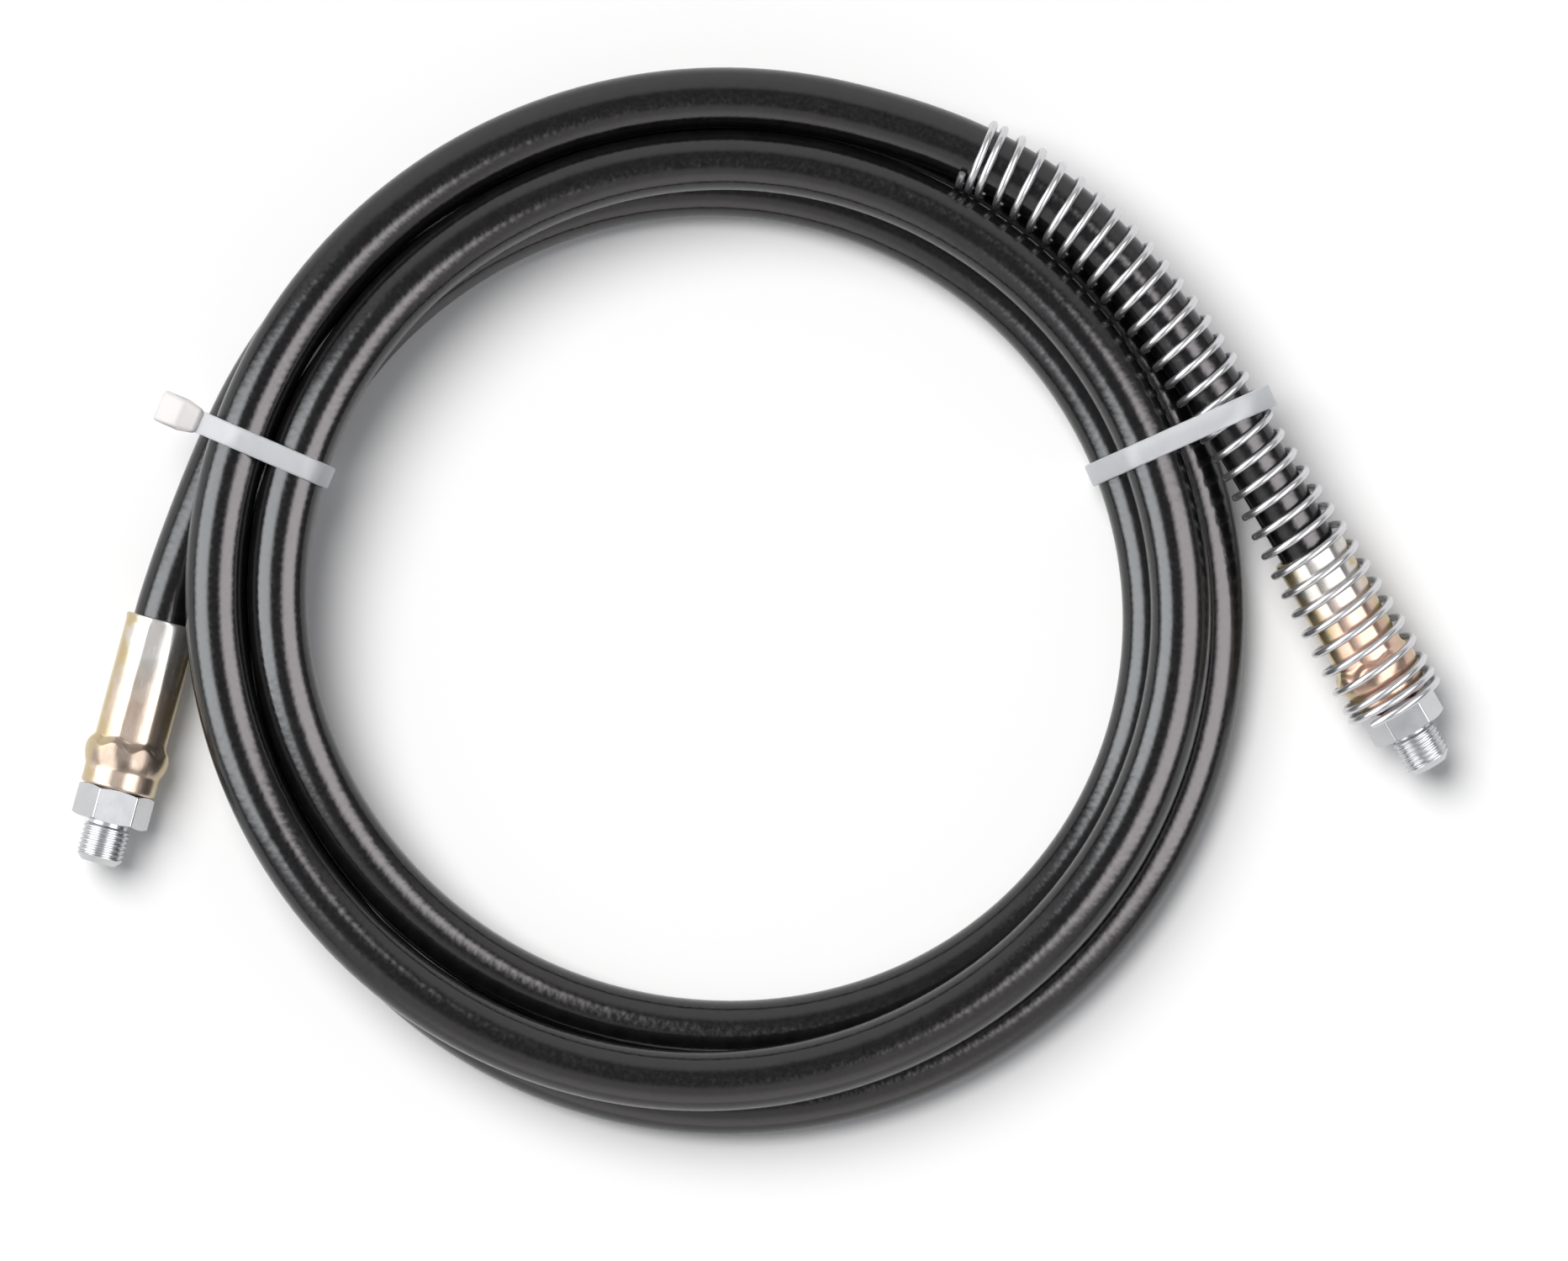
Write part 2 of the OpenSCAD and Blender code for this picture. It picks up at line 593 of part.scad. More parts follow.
translate(-middle) {
    hose_cover();
    outer_wire_braid();
    friction_layer();
    inner_wire_braid();
    inner_tube();
    ferrule_a();
    ferrule_b();
    fitting_insert_a();
    fitting_insert_b();
    guard_spring();
    cable_tie_a();
    cable_tie_b();
}
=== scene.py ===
"""Looks of the hydraulic hose assembly: the wound hose and its layers, the two crimped fittings,
the guard spring and the cable ties, on a plain pale floor. Pieces are drawn in millimetres and end
in metres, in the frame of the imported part."""

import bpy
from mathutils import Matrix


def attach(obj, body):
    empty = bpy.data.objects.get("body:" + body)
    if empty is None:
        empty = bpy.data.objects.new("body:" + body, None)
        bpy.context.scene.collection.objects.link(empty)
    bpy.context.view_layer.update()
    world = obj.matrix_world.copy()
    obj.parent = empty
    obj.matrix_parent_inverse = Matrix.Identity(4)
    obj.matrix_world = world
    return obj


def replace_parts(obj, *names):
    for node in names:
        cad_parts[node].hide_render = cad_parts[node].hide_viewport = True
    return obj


bl_info = {
    "name": "Hydraulic Hose Assembly",
    "version": (1, 0, 0),
    "blender": (4, 5, 0),
    "location": "3D View > Sidebar > Hose Assembly",
    "description": "Builds a coiled hydraulic hose with crimped ends, a guard spring and cable ties",
    "category": "Add Mesh",
}

import bisect
import math

import bmesh
import bpy
from bpy.props import FloatProperty, FloatVectorProperty, PointerProperty
from mathutils import Matrix, Vector

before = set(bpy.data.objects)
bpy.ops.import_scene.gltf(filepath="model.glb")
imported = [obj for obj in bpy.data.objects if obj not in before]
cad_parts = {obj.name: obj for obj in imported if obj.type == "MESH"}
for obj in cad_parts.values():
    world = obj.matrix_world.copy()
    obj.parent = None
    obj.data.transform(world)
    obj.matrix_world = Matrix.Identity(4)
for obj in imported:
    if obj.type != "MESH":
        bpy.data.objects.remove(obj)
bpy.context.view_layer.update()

MM = 0.001
UP = Vector((0.0, 0.0, 1.0))

# Radii of the hose's layers, from the bore outwards
BORE_R, TUBE_R, INNER_BRAID_R, FRICTION_R, OUTER_BRAID_R, HOSE_R = 4.0, 5.2, 5.9, 6.3, 7.0, 8.4
LAYER_GAP = 0.05
BRAID_CARRIERS, BRAID_ANGLE = 24, 54.7

# Fineness of the layers: degrees of loop to a ring, and sides of a ring
INSIDE_MESH, COVER_MESH = (3.0, 24), (1.8, 40)
# Degrees of loop that are about as long as tail B, as tail A and as the hose inside a ferrule
TAIL_B_SPAN, TAIL_A_SPAN, SLEEVE_SPAN = 70, 30, 18

# Ferrule and insert: radii, and places along the axis from the ferrule's mouth
FERRULE_BORE_R, FERRULE_R, BULGE_R, NECK_R = 8.55, 10.35, 11.9, 10.66
BULGE_AT, NECK_AT, FERRULE_LEN = 34.5, 43.8, 48.8
HOSE_IN, COLLAR_AT, CHAMBER_END = 36.0, 36.2, 43.3
TAIL_AT, TAIL_R, FLOW_R, BARB, BARB_PITCH, BARBS = 3.0, 3.85, 2.5, 0.35, 4.5, 6
COLLAR_R, LOCK_R = 6.7, 5.7
HEX_AT, HEX_END, HEX_AF, HEX_CHAMFER = 49.0, 58.3, 19.0, 1.0
THREAD_R, RELIEF_R, TIP_AT, TIP_R, CONE_R = 6.5785, 5.6285, 70.0, 4.8285, 4.2

# Crimp: the dies, the ridges between them, and the bulge that their wavy end leaves standing
DIES, RIDGE, CRIMP_ROUNDING = 8, 0.05, 0.06
DIE_SPAN = 360.0 / DIES
BULGE_TOP, BULGE_FALL, BULGE_FROM, BULGE_RISE, BULGE_WAVE = 38.6, 0.05, 34.3, 3.1, 0.5

# Coil
COIL_R, LOOP_PITCH, COIL_OVAL, TURN_ROUND = 115.8, 17.45, 0.9, 0.05
TURN_BACK, START_DEG, END_DEG = 270.0, -284.4, 874.8
LOWER_Z, LOWER_RIGHT, LOWER_FRONT = 8.4, 1.2, 7.0
DROP_FROM, DROP_OVER, SHIFT_FROM, SHIFT_OVER = -120.0, 150.0, -90.0, 200.0
MIDDLE = Vector((12.8334, 0.828162, 0.0))

# Ties
TIE_W, TIE_T, TIE_SKEW = 6.3, 1.2, 4.5
TIE_SLANT = math.tan(math.radians(TIE_SKEW))
TIE_EASE = 0.25 + TIE_W / 2 * TIE_SLANT
TIE_A_DEG, TIE_B_DEG = END_DEG + 6.4, START_DEG - 56.1
TIE_LIFT, LIFT_REACH, LIFT_RUN = TIE_T + TIE_EASE, 45.0, 35.0
HEAD_L, HEAD_W, HEAD_T, HEAD_BLOCK, HEAD_OFF = 12.0, 9.2, 5.2, 6.8, 7.4
HULL_STEPS = 96

# Guard spring, along the hose from the mouth of ferrule B
SPRING_END, SPRING_ON_HOSE, SPRING_TURNS = 50.7, 147.0, 34
CLOSE_TURNS, CLOSE_PITCH, SPRING_START_DEG = 2, 3.1, -42.0
SPRING_RADII = [(-SPRING_END, 13.1), (-34.0, 13.1), (0.0, 11.75), (30.0, 9.75),
                (SPRING_ON_HOSE, 9.75)]
SPRING_STEPS, WIRE_SIDES, WIRE_END_EDGE = 36, 12, 0.12
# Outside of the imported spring, whose turns have eight corners: on the hose, and where it rests
PACKED_WIRE_R = 1.1
SPRING_OVER_R = 9.7 / math.cos(math.radians(22.5)) + PACKED_WIRE_R
SPRING_FOOT_R = 13.8 + PACKED_WIRE_R

# Ends
TAIL_B_TURN, TAIL_B_OUT, TAIL_B_FLARE, TAIL_B_DIP = 70.2, 24.2, 24.4, 6.5
TAIL_A_TURN, TAIL_A_OUT, TAIL_A_FLARE = 26.8, 7.8, 16.7

# Studio, in metres and degrees
SENSOR_W, PICTURE_W, COIL_TOP = 36.0, 1865.0, 0.027
FLOOR_HALF, KEY_AZIMUTH, KEY_SPREAD = 20.0, 136.0, 40.0
BOX_NEAR, BOX_FAR = 1.6, 5.0
COOL, WARM, PLAIN = (0.94, 0.97, 1.0), (1.0, 0.94, 0.96), (1.0, 1.0, 1.0)


# ---------------------------------------------------------------- route of the hose

def clamped(x):
    return min(1.0, max(0.0, x))


def smooth(x):
    t = clamped(x)
    return t * t * t * (t * (6 * t - 15) + 10)


def eased(x):
    t = clamped(x)
    return t * t * (3 - 2 * t)


def larger(a, b, blend):
    """The larger of two numbers, with a rounded change from one to the other"""
    return max(a, b) + blend * math.log(1 + math.exp(-abs(a - b) / blend))


def polar(r, deg):
    return Vector((r * math.cos(math.radians(deg)), r * math.sin(math.radians(deg)), 0.0))


def turned(deg):
    return (deg + 180.0) % 360.0 - 180.0


def lift(deg):
    """Rise of the loops over the straps, flat near each tie"""
    return sum(TIE_LIFT * smooth((LIFT_REACH - abs(turned(deg - tie))) / LIFT_RUN)
               for tie in (TIE_A_DEG, TIE_B_DEG))


def loop_r(deg):
    """Radius of the loops: least at the turn back, a strand wider with each loop on either side"""
    return (COIL_R + LOOP_PITCH * math.hypot((deg - TURN_BACK) / 360.0, TURN_ROUND)
            + COIL_OVAL * math.cos(math.radians(2 * deg)))


def loop_point(deg):
    low = smooth((deg - TURN_BACK - DROP_FROM) / DROP_OVER)
    shifted = smooth((deg - TURN_BACK - SHIFT_FROM) / SHIFT_OVER)
    return (polar(loop_r(deg), deg) + shifted * Vector((LOWER_RIGHT, -LOWER_FRONT, 0.0))
            + Vector((0.0, 0.0, LOWER_Z + LOOP_PITCH * (1 - low) + lift(deg))) - MIDDLE)


def loop_heading(deg):
    return (loop_point(deg + 0.5) - loop_point(deg - 0.5)).normalized()


# Where each ferrule's mouth stands, and its axis out of the hose
DIP = math.radians(TAIL_B_DIP)
MOUTH_B_DEG = START_DEG - TAIL_B_TURN
MOUTH_B = (polar(loop_r(START_DEG) + TAIL_B_OUT, MOUTH_B_DEG) - MIDDLE
           + Vector((0.0, 0.0, SPRING_FOOT_R * math.cos(DIP) + SPRING_END * math.sin(DIP))))
HEADING_B = math.radians(MOUTH_B_DEG - 90 + TAIL_B_FLARE)
AXIS_B = Vector((math.cos(DIP) * math.cos(HEADING_B), math.cos(DIP) * math.sin(HEADING_B),
                 -math.sin(DIP)))
MOUTH_A_DEG = END_DEG + TAIL_A_TURN
MOUTH_A = (polar(loop_r(END_DEG) + TAIL_A_OUT, MOUTH_A_DEG) - MIDDLE
           + Vector((0.0, 0.0, BULGE_R)))
HEADING_A = math.radians(MOUTH_A_DEG + 90 - TAIL_A_FLARE)
AXIS_A = Vector((math.cos(HEADING_A), math.sin(HEADING_A), 0.0))


def handles(p, p_dir, q, q_dir, p_share, q_share):
    """The four points of a curve from one place and heading to another"""
    d = (q - p).length
    return p, p + d * p_share * p_dir, q - d * q_share * q_dir, q


TAIL_B = handles(MOUTH_B, -AXIS_B, loop_point(START_DEG), loop_heading(START_DEG), 0.55, 0.35)
TAIL_A = handles(loop_point(END_DEG), loop_heading(END_DEG), MOUTH_A, AXIS_A, 0.25, 0.25)


def on_curve(p, t):
    return ((1 - t) ** 3 * p[0] + 3 * (1 - t) ** 2 * t * p[1] + 3 * (1 - t) * t * t * p[2]
            + t ** 3 * p[3])


def curve_heading(p, t):
    return ((1 - t) ** 2 * (p[1] - p[0]) + 2 * (1 - t) * t * (p[2] - p[1])
            + t * t * (p[3] - p[2])).normalized()


def hose_route(loop_step, tail_b_steps, tail_a_steps, sleeve_steps):
    """The hose's middle line from inside ferrule B to inside ferrule A: places with headings"""
    route = [(MOUTH_B + AXIS_B * HOSE_IN * (1 - i / sleeve_steps), -AXIS_B)
             for i in range(sleeve_steps)]
    for i in range(tail_b_steps):
        t = i / tail_b_steps
        route.append((on_curve(TAIL_B, t), curve_heading(TAIL_B, t)))
    turns = math.ceil((END_DEG - START_DEG) / loop_step)
    for i in range(turns + 1):
        deg = START_DEG + (END_DEG - START_DEG) * i / turns
        route.append((loop_point(deg), loop_heading(deg)))
    for i in range(1, tail_a_steps + 1):
        t = i / tail_a_steps
        route.append((on_curve(TAIL_A, t), curve_heading(TAIL_A, t)))
    for i in range(1, sleeve_steps + 1):
        route.append((MOUTH_A + AXIS_A * HOSE_IN * i / sleeve_steps, AXIS_A))
    return route


def run_along(places):
    """Distance of each place from the first, along the line through them"""
    run = [0.0]
    for p, q in zip(places, places[1:]):
        run.append(run[-1] + (q - p).length)
    return run


def point_on(line, run, s):
    """The point at a distance along a line of points"""
    i = min(max(bisect.bisect_right(run, s), 1), len(run) - 1)
    return line[i - 1].lerp(line[i], (s - run[i - 1]) / (run[i] - run[i - 1]))


# The middle line between the two mouths, in small steps
FINE = [p for p, _ in hose_route(0.5, 160, 60, 1)[1:-1]]
FINE_RUN = run_along(FINE)


def between(points, x):
    """Value at x on a line through pairs of numbers, level beyond its ends"""
    for (x0, y0), (x1, y1) in zip(points, points[1:]):
        if x <= x1:
            return y0 + (y1 - y0) * max(0.0, (x - x0) / (x1 - x0))
    return points[-1][1]


def place_at(s):
    """Place on the hose's middle line at a distance from ferrule B's mouth, below 0 inside it"""
    if s < 0:
        return MOUTH_B - s * AXIS_B
    return point_on(FINE, FINE_RUN, s)


def heading_at(s):
    return (place_at(s + 1) - place_at(s - 1)).normalized()


def upright(heading, up=UP):
    """Side and top directions square to a heading"""
    side = heading.cross(up).normalized()
    return side, side.cross(heading)


# ---------------------------------------------------------------- meshes

def piece_from(bm, name, slot, *finishes):
    """Ends a bmesh drawn in millimetres as a named object in metres that rides on the part"""
    bmesh.ops.scale(bm, vec=(MM, MM, MM), verts=bm.verts)
    mesh = bpy.data.meshes.new(name)
    bm.to_mesh(mesh)
    bm.free()
    for finish in finishes:
        mesh.materials.append(finish)
    piece = bpy.data.objects.new(name, mesh)
    bpy.context.scene.collection.objects.link(piece)
    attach(piece, "root")
    return piece


def faces_at(verts):
    return {f for v in verts for f in v.link_faces}


def soften(bm, crease_deg):
    """Shades a bmesh smooth, apart from edges that turn more than an angle"""
    crease = math.radians(crease_deg)
    for face in bm.faces:
        face.smooth = True
    for edge in bm.edges:
        edge.smooth = len(edge.link_faces) == 2 and edge.calc_face_angle(0.0) < crease


def face_out(bm, crease_deg):
    """Turns every face of a closed shape outwards and shades it"""
    bmesh.ops.recalc_face_normals(bm, faces=bm.faces)
    soften(bm, crease_deg)


def round_edges(bm, edges, offset, segments):
    bmesh.ops.bevel(bm, geom=edges, offset=offset, offset_type="OFFSET", affect="EDGES",
                    segments=segments, profile=0.5, material=-1)


def pull(bm, extruded, way):
    """Moves what an extrusion added"""
    added = [g for g in extruded["geom"] if isinstance(g, bmesh.types.BMVert)]
    bmesh.ops.translate(bm, verts=added, vec=way)


def set_radius(v, r):
    """Moves a vertex to a distance from the Z axis"""
    share = r / math.hypot(v.co.x, v.co.y)
    v.co.x *= share
    v.co.y *= share


def skin_along(bm, rings, radius_at, sides, inward=False):
    """A round skin along rings of place, heading and up. Its UV runs along the rings and round."""
    last = len(rings) - 1
    verts = bmesh.ops.create_grid(bm, x_segments=sides, y_segments=last, size=1.0,
                                  calc_uvs=True)["verts"]
    run = run_along([r[0] for r in rings])
    uv = bm.loops.layers.uv.active
    faces = faces_at(verts)
    for face in faces:
        for loop in face.loops:
            x, y = loop.vert.co.x, loop.vert.co.y
            loop[uv].uv = (run[round((y + 1) / 2 * last)] * MM, (x + 1) / 2)
    frames = [(place, *upright(heading, up)) for place, heading, up in rings]
    for v in verts:
        i = round((v.co.y + 1) / 2 * last)
        turn = (v.co.x + 1) * math.pi
        place, side, top = frames[i]
        v.co = place + radius_at(i) * (math.cos(turn) * top + math.sin(turn) * side)
    if inward:
        bmesh.ops.reverse_faces(bm, faces=list(faces))


def hose_layer(name, slot, r_in, r_out, mesh_size, finish):
    """One layer of the hose as a closed sleeve from ferrule to ferrule"""
    loop_step, sides = mesh_size
    steps = (round(span / loop_step) for span in (TAIL_B_SPAN, TAIL_A_SPAN, SLEEVE_SPAN))
    rings = [(place, heading, UP) for place, heading in hose_route(loop_step, *steps)]
    bm = bmesh.new()
    bm.loops.layers.uv.new("UVMap")
    skin_along(bm, rings, lambda i: r_out, sides)
    skin_along(bm, rings, lambda i: r_in, sides, inward=True)
    bmesh.ops.remove_doubles(bm, verts=bm.verts, dist=0.001)
    open_edges = [e for e in bm.edges if e.is_boundary]
    first = rings[0][0]
    for at_first in (True, False):
        rim = [e for e in open_edges if ((e.verts[0].co - first).length < HOSE_IN) == at_first]
        bmesh.ops.bridge_loops(bm, edges=rim)
    face_out(bm, 50)
    piece = piece_from(bm, name + "_sleeve", slot, finish)
    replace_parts(piece, name)
    return piece


def end_matrix(mouth, heading, dip, turn):
    """From a fitting's own axis, out of the hose along Z, to its place, turned about that axis"""
    return (Matrix.Translation(mouth) @ Matrix.Rotation(heading, 4, "Z")
            @ Matrix.Rotation(math.radians(90) + dip, 4, "Y") @ Matrix.Rotation(turn, 4, "Z"))


def axial_uv(bm, length):
    """UV of a turned piece: along the axis from 0 to 1, and once round it"""
    uv = bm.loops.layers.uv.verify()
    for face in bm.faces:
        rounds = [(math.atan2(l.vert.co.y, l.vert.co.x) / math.tau) % 1.0 for l in face.loops]
        wraps = max(rounds) - min(rounds) > 0.5
        for loop, turn in zip(face.loops, rounds):
            next_round = 1.0 if wraps and turn < 0.5 else 0.0
            loop[uv].uv = (loop.vert.co.z / length, turn + next_round)


def spun(bm, outline, steps, closed):
    """Spins an outline of (radius, distance along the axis) a full turn"""
    verts = [bm.verts.new((r, 0.0, s)) for r, s in outline]
    pairs = list(zip(verts, verts[1:])) + ([(verts[-1], verts[0])] if closed else [])
    edges = [bm.edges.new(pair) for pair in pairs]
    bmesh.ops.spin(bm, geom=verts + edges, cent=(0, 0, 0), axis=(0, 0, 1), angle=math.tau,
                   steps=steps, use_merge=True)
    bmesh.ops.remove_doubles(bm, verts=bm.verts, dist=1e-4)


def fine_line(outline, step):
    """An outline with extra points, none further apart than a step"""
    out = []
    for (r0, s0), (r1, s1) in zip(outline, outline[1:]):
        n = max(1, math.ceil(math.hypot(r1 - r0, s1 - s0) / step))
        out += [(r0 + (r1 - r0) * i / n, s0 + (s1 - s0) * i / n) for i in range(n)]
    return out + [outline[-1]]


def die_face_r(turn_deg, sizes):
    """Radius of the crimped sleeve at an angle from the middle of a die's face"""
    off = math.radians((turn_deg + DIE_SPAN / 2) % DIE_SPAN - DIE_SPAN / 2)
    flat = (FERRULE_R - sizes.crimp_flat / MM) / math.cos(off * sizes.die_flatness)
    return -larger(-flat, -(FERRULE_R + RIDGE), CRIMP_ROUNDING)


def crimped_r(r, s, deg, sizes):
    """Radius of the ferrule's outside after the crimp, from its radius before it"""
    pressed = r + (die_face_r(deg, sizes) - FERRULE_R) * smooth((s - 0.6) / 1.4)
    barrel = BULGE_R - BULGE_FALL * (s - BULGE_TOP) ** 2
    if s > BULGE_TOP:
        barrel = larger(NECK_R, barrel, CRIMP_ROUNDING)
    wave = BULGE_WAVE * math.cos(math.radians(DIES * deg))
    return pressed + (barrel - pressed) * eased((s - BULGE_FROM - wave) / (BULGE_RISE + wave))


def ferrule_mesh(sizes):
    """A sleeve crimped by eight dies, with its bulge, neck, grooved bore and chamber"""
    outer = [(FERRULE_BORE_R + 0.25, 0.0), (FERRULE_R - 0.5, 0.0), (FERRULE_R - 0.15, 0.15),
             (FERRULE_R, 0.5)]
    outer += fine_line([(FERRULE_R, 0.9), (FERRULE_R, 33.5)], 0.8)[:-1]
    outer += fine_line([(FERRULE_R, 33.5), (FERRULE_R, 43.6)], 0.25)
    outer += fine_line([(NECK_R, NECK_AT + 0.2), (NECK_R, FERRULE_LEN - 0.7)], 0.7)
    outer += [(NECK_R - 0.15, FERRULE_LEN - 0.25), (NECK_R - 0.5, FERRULE_LEN)]
    lock_bore, chamber, groove = LOCK_R + 0.15, BULGE_R - 1.8, FERRULE_BORE_R + 0.4
    inner = [(lock_bore + 0.2, FERRULE_LEN), (lock_bore, FERRULE_LEN - 0.2),
             (lock_bore, CHAMBER_END), (COLLAR_R + 0.15, CHAMBER_END), (chamber, NECK_AT - 3),
             (chamber, BULGE_AT + 3), (FERRULE_BORE_R, HOSE_IN + 0.2)]
    for end in range(28, 0, -4):
        inner += [(FERRULE_BORE_R, end), (groove, end), (groove, end - 1.2),
                  (FERRULE_BORE_R, end - 1.2)]
    inner += [(FERRULE_BORE_R, 0.25)]
    bm = bmesh.new()
    spun(bm, outer + inner, 160, True)
    for v in bm.verts:
        r, s = math.hypot(v.co.x, v.co.y), v.co.z
        outside = r >= FERRULE_R - 0.8
        if outside and s <= NECK_AT - 0.15:
            set_radius(v, crimped_r(r, s, math.degrees(math.atan2(v.co.y, v.co.x)), sizes))
    axial_uv(bm, FERRULE_LEN)
    face_out(bm, 38)
    return bm


def thread_depth(s, turn, sizes):
    """Depth below the crest of a right-hand pipe thread with round crests and roots"""
    x = (s / (sizes.thread_pitch / MM) - turn) % 1.0
    flank = clamped(abs(2 * x - 1) * 1.35 - 0.175)
    shape = smooth(0.75 * flank + 0.25 * flank * flank)
    starts = smooth((s - HEX_END - 1.0) / 0.9)
    return sizes.thread_depth / MM * shape * starts


def hexagon_shell(bm):
    """A chamfered hexagonal prism without its end faces, with softened corners"""
    corner_r = HEX_AF / 2 / math.cos(math.radians(30))
    hexagon = bmesh.ops.create_circle(bm, cap_ends=True, radius=corner_r, segments=6)["verts"]
    corner = math.atan2(hexagon[0].co.y, hexagon[0].co.x)
    bmesh.ops.rotate(bm, verts=hexagon, cent=(0, 0, 0),
                     matrix=Matrix.Rotation(math.radians(30) - corner, 3, "Z"))
    bmesh.ops.translate(bm, verts=hexagon, vec=(0, 0, HEX_AT))
    grown = bmesh.ops.extrude_face_region(bm, geom=list(faces_at(hexagon)))
    pull(bm, grown, (0, 0, HEX_END - HEX_AT))
    bmesh.ops.recalc_face_normals(bm, faces=bm.faces)
    # The chamfer is turned, so it is cut round each corner in flats of six degrees
    slope = math.atan2(corner_r + HEX_CHAMFER - HEX_AF / 2, HEX_CHAMFER)
    for end, way in ((HEX_AT, -1.0), (HEX_END, 1.0)):
        for deg in (30 + 60 * k + off for k in range(6) for off in range(-24, 25, 6)):
            out = polar(1.0, deg)
            normal = out * math.cos(slope) + way * math.sin(slope) * UP
            cut = bmesh.ops.bisect_plane(bm, geom=bm.verts[:] + bm.edges[:] + bm.faces[:],
                                         dist=1e-5, plane_co=out * HEX_AF / 2 + end * UP,
                                         plane_no=normal, clear_outer=True)
            rim = [g for g in cut["geom_cut"] if isinstance(g, bmesh.types.BMEdge)]
            if len(rim) > 2:
                bmesh.ops.contextual_create(bm, geom=rim)
    round_edges(bm, [e for e in bm.edges if abs(e.verts[0].co.z - e.verts[1].co.z) > 4], 0.3, 3)
    ends = [f for f in bm.faces if abs(f.normal.z) > 0.999]
    bmesh.ops.delete(bm, geom=ends, context="FACES_ONLY")


def insert_mesh(sizes):
    """Barbed tail, collar, hexagon, threaded spigot and cone seat in one shell"""
    bm = bmesh.new()
    hexagon_shell(bm)
    relief_end = HEX_END + 1.1
    spigot = [(RELIEF_R, HEX_END), (RELIEF_R, relief_end), (THREAD_R - 0.35, HEX_END + 1.4)]
    spigot += fine_line([(THREAD_R, HEX_END + 1.7), (THREAD_R, TIP_AT - 1.8)], 0.11)
    spigot += fine_line([(THREAD_R, TIP_AT - 1.8), (TIP_R, TIP_AT)], 0.25)[1:]
    cone_deep = (CONE_R - FLOW_R) / math.tan(math.radians(30))
    bore = [(CONE_R + 0.1, TIP_AT), (CONE_R, TIP_AT - 0.1), (FLOW_R, TIP_AT - cone_deep),
            (FLOW_R, TAIL_AT)]
    root, tail = TAIL_R - BARB, []
    for i in range(BARBS):
        start, end = TAIL_AT + i * BARB_PITCH, TAIL_AT + i * BARB_PITCH + BARB_PITCH
        tail += [(root, start), (TAIL_R, end - 0.8), (TAIL_R, end - 0.01)]
    tail += [(root, TAIL_AT + BARBS * BARB_PITCH), (root, COLLAR_AT), (COLLAR_R - 0.3, COLLAR_AT),
             (COLLAR_R, COLLAR_AT + 0.3), (COLLAR_R, NECK_AT - 0.6), (LOCK_R, NECK_AT - 0.6),
             (LOCK_R, HEX_AT)]
    hexagon = set(bm.verts)
    spun(bm, spigot + bore + tail, 96, False)
    for v in bm.verts:
        r, s = math.hypot(v.co.x, v.co.y), v.co.z
        if v not in hexagon and s > relief_end - 0.05 and r > TIP_R - 0.05:
            turn = math.atan2(v.co.y, v.co.x) / math.tau
            set_radius(v, min(r, THREAD_R - thread_depth(s, turn, sizes)))
    for end in (HEX_AT, HEX_END):
        rim = [e for e in bm.edges
               if e.is_boundary and all(abs(v.co.z - end) < 1e-3 for v in e.verts)]
        bmesh.ops.bridge_loops(bm, edges=rim)
    axial_uv(bm, TIP_AT)
    face_out(bm, 32)
    # The hexagon's flats keep sharp edges, so that they shade as flats
    for flat in (f for f in bm.faces if f.calc_area() > 20):
        for edge in flat.edges:
            edge.smooth = False
    return bm


# ---------------------------------------------------------------- cable ties

def tie_frame(deg, skew):
    """Where a tie's plane stands: its spot on the coil and its direction along the strap"""
    return polar(loop_r(TURN_BACK) + LOOP_PITCH / 2, deg) - MIDDLE, polar(1.0, deg + skew)


def strands_in(spot, along):
    """The strands in a tie: place along it, height, and the radius that its strap clears"""
    normal = Vector((-along.y, along.x, 0.0))
    found = []
    for i in range(1, len(FINE)):
        p, q = FINE[i - 1] - spot, FINE[i] - spot
        u, v = p.dot(normal), q.dot(normal)
        if u * v <= 0 and u != v and p.length < COIL_R:
            m = p + (q - p) * (u / (u - v))
            slant = abs((q - p).dot(along) / (v - u))
            in_spring = FINE_RUN[i] < SPRING_ON_HOSE + 2 * PACKED_WIRE_R
            wider = max(0.0, TIE_W / 2 * (slant - TIE_SLANT))
            found.append((m.dot(along), m.z, (SPRING_OVER_R if in_spring else HOSE_R) + wider))
    return found


def hull_line(circles, more):
    """The line round circles in a tie's plane, as points counterclockwise"""
    steps = [k * math.tau / HULL_STEPS for k in range(HULL_STEPS)]
    points = sorted({(round(x + (r + more) * math.cos(turn), 5),
                      round(z + (r + more) * math.sin(turn), 5))
                     for x, z, r in circles for turn in steps})

    def half(way):
        line = []
        for x, z in way:
            while len(line) > 1:
                (x0, z0), (x1, z1) = line[-2:]
                if (x1 - x0) * (z - z0) - (z1 - z0) * (x - x0) > 0:
                    break
                line.pop()
            line.append((x, z))
        return line[:-1]

    return half(points) + half(points[::-1])


def evenly(line, step):
    """A closed line with points a step apart"""
    ring = [Vector((x, 0.0, z)) for x, z in line]
    closed = ring + ring[:1]
    run = run_along(closed)
    n = round(run[-1] / step)
    return [point_on(closed, run, run[-1] * i / n) for i in range(n)]


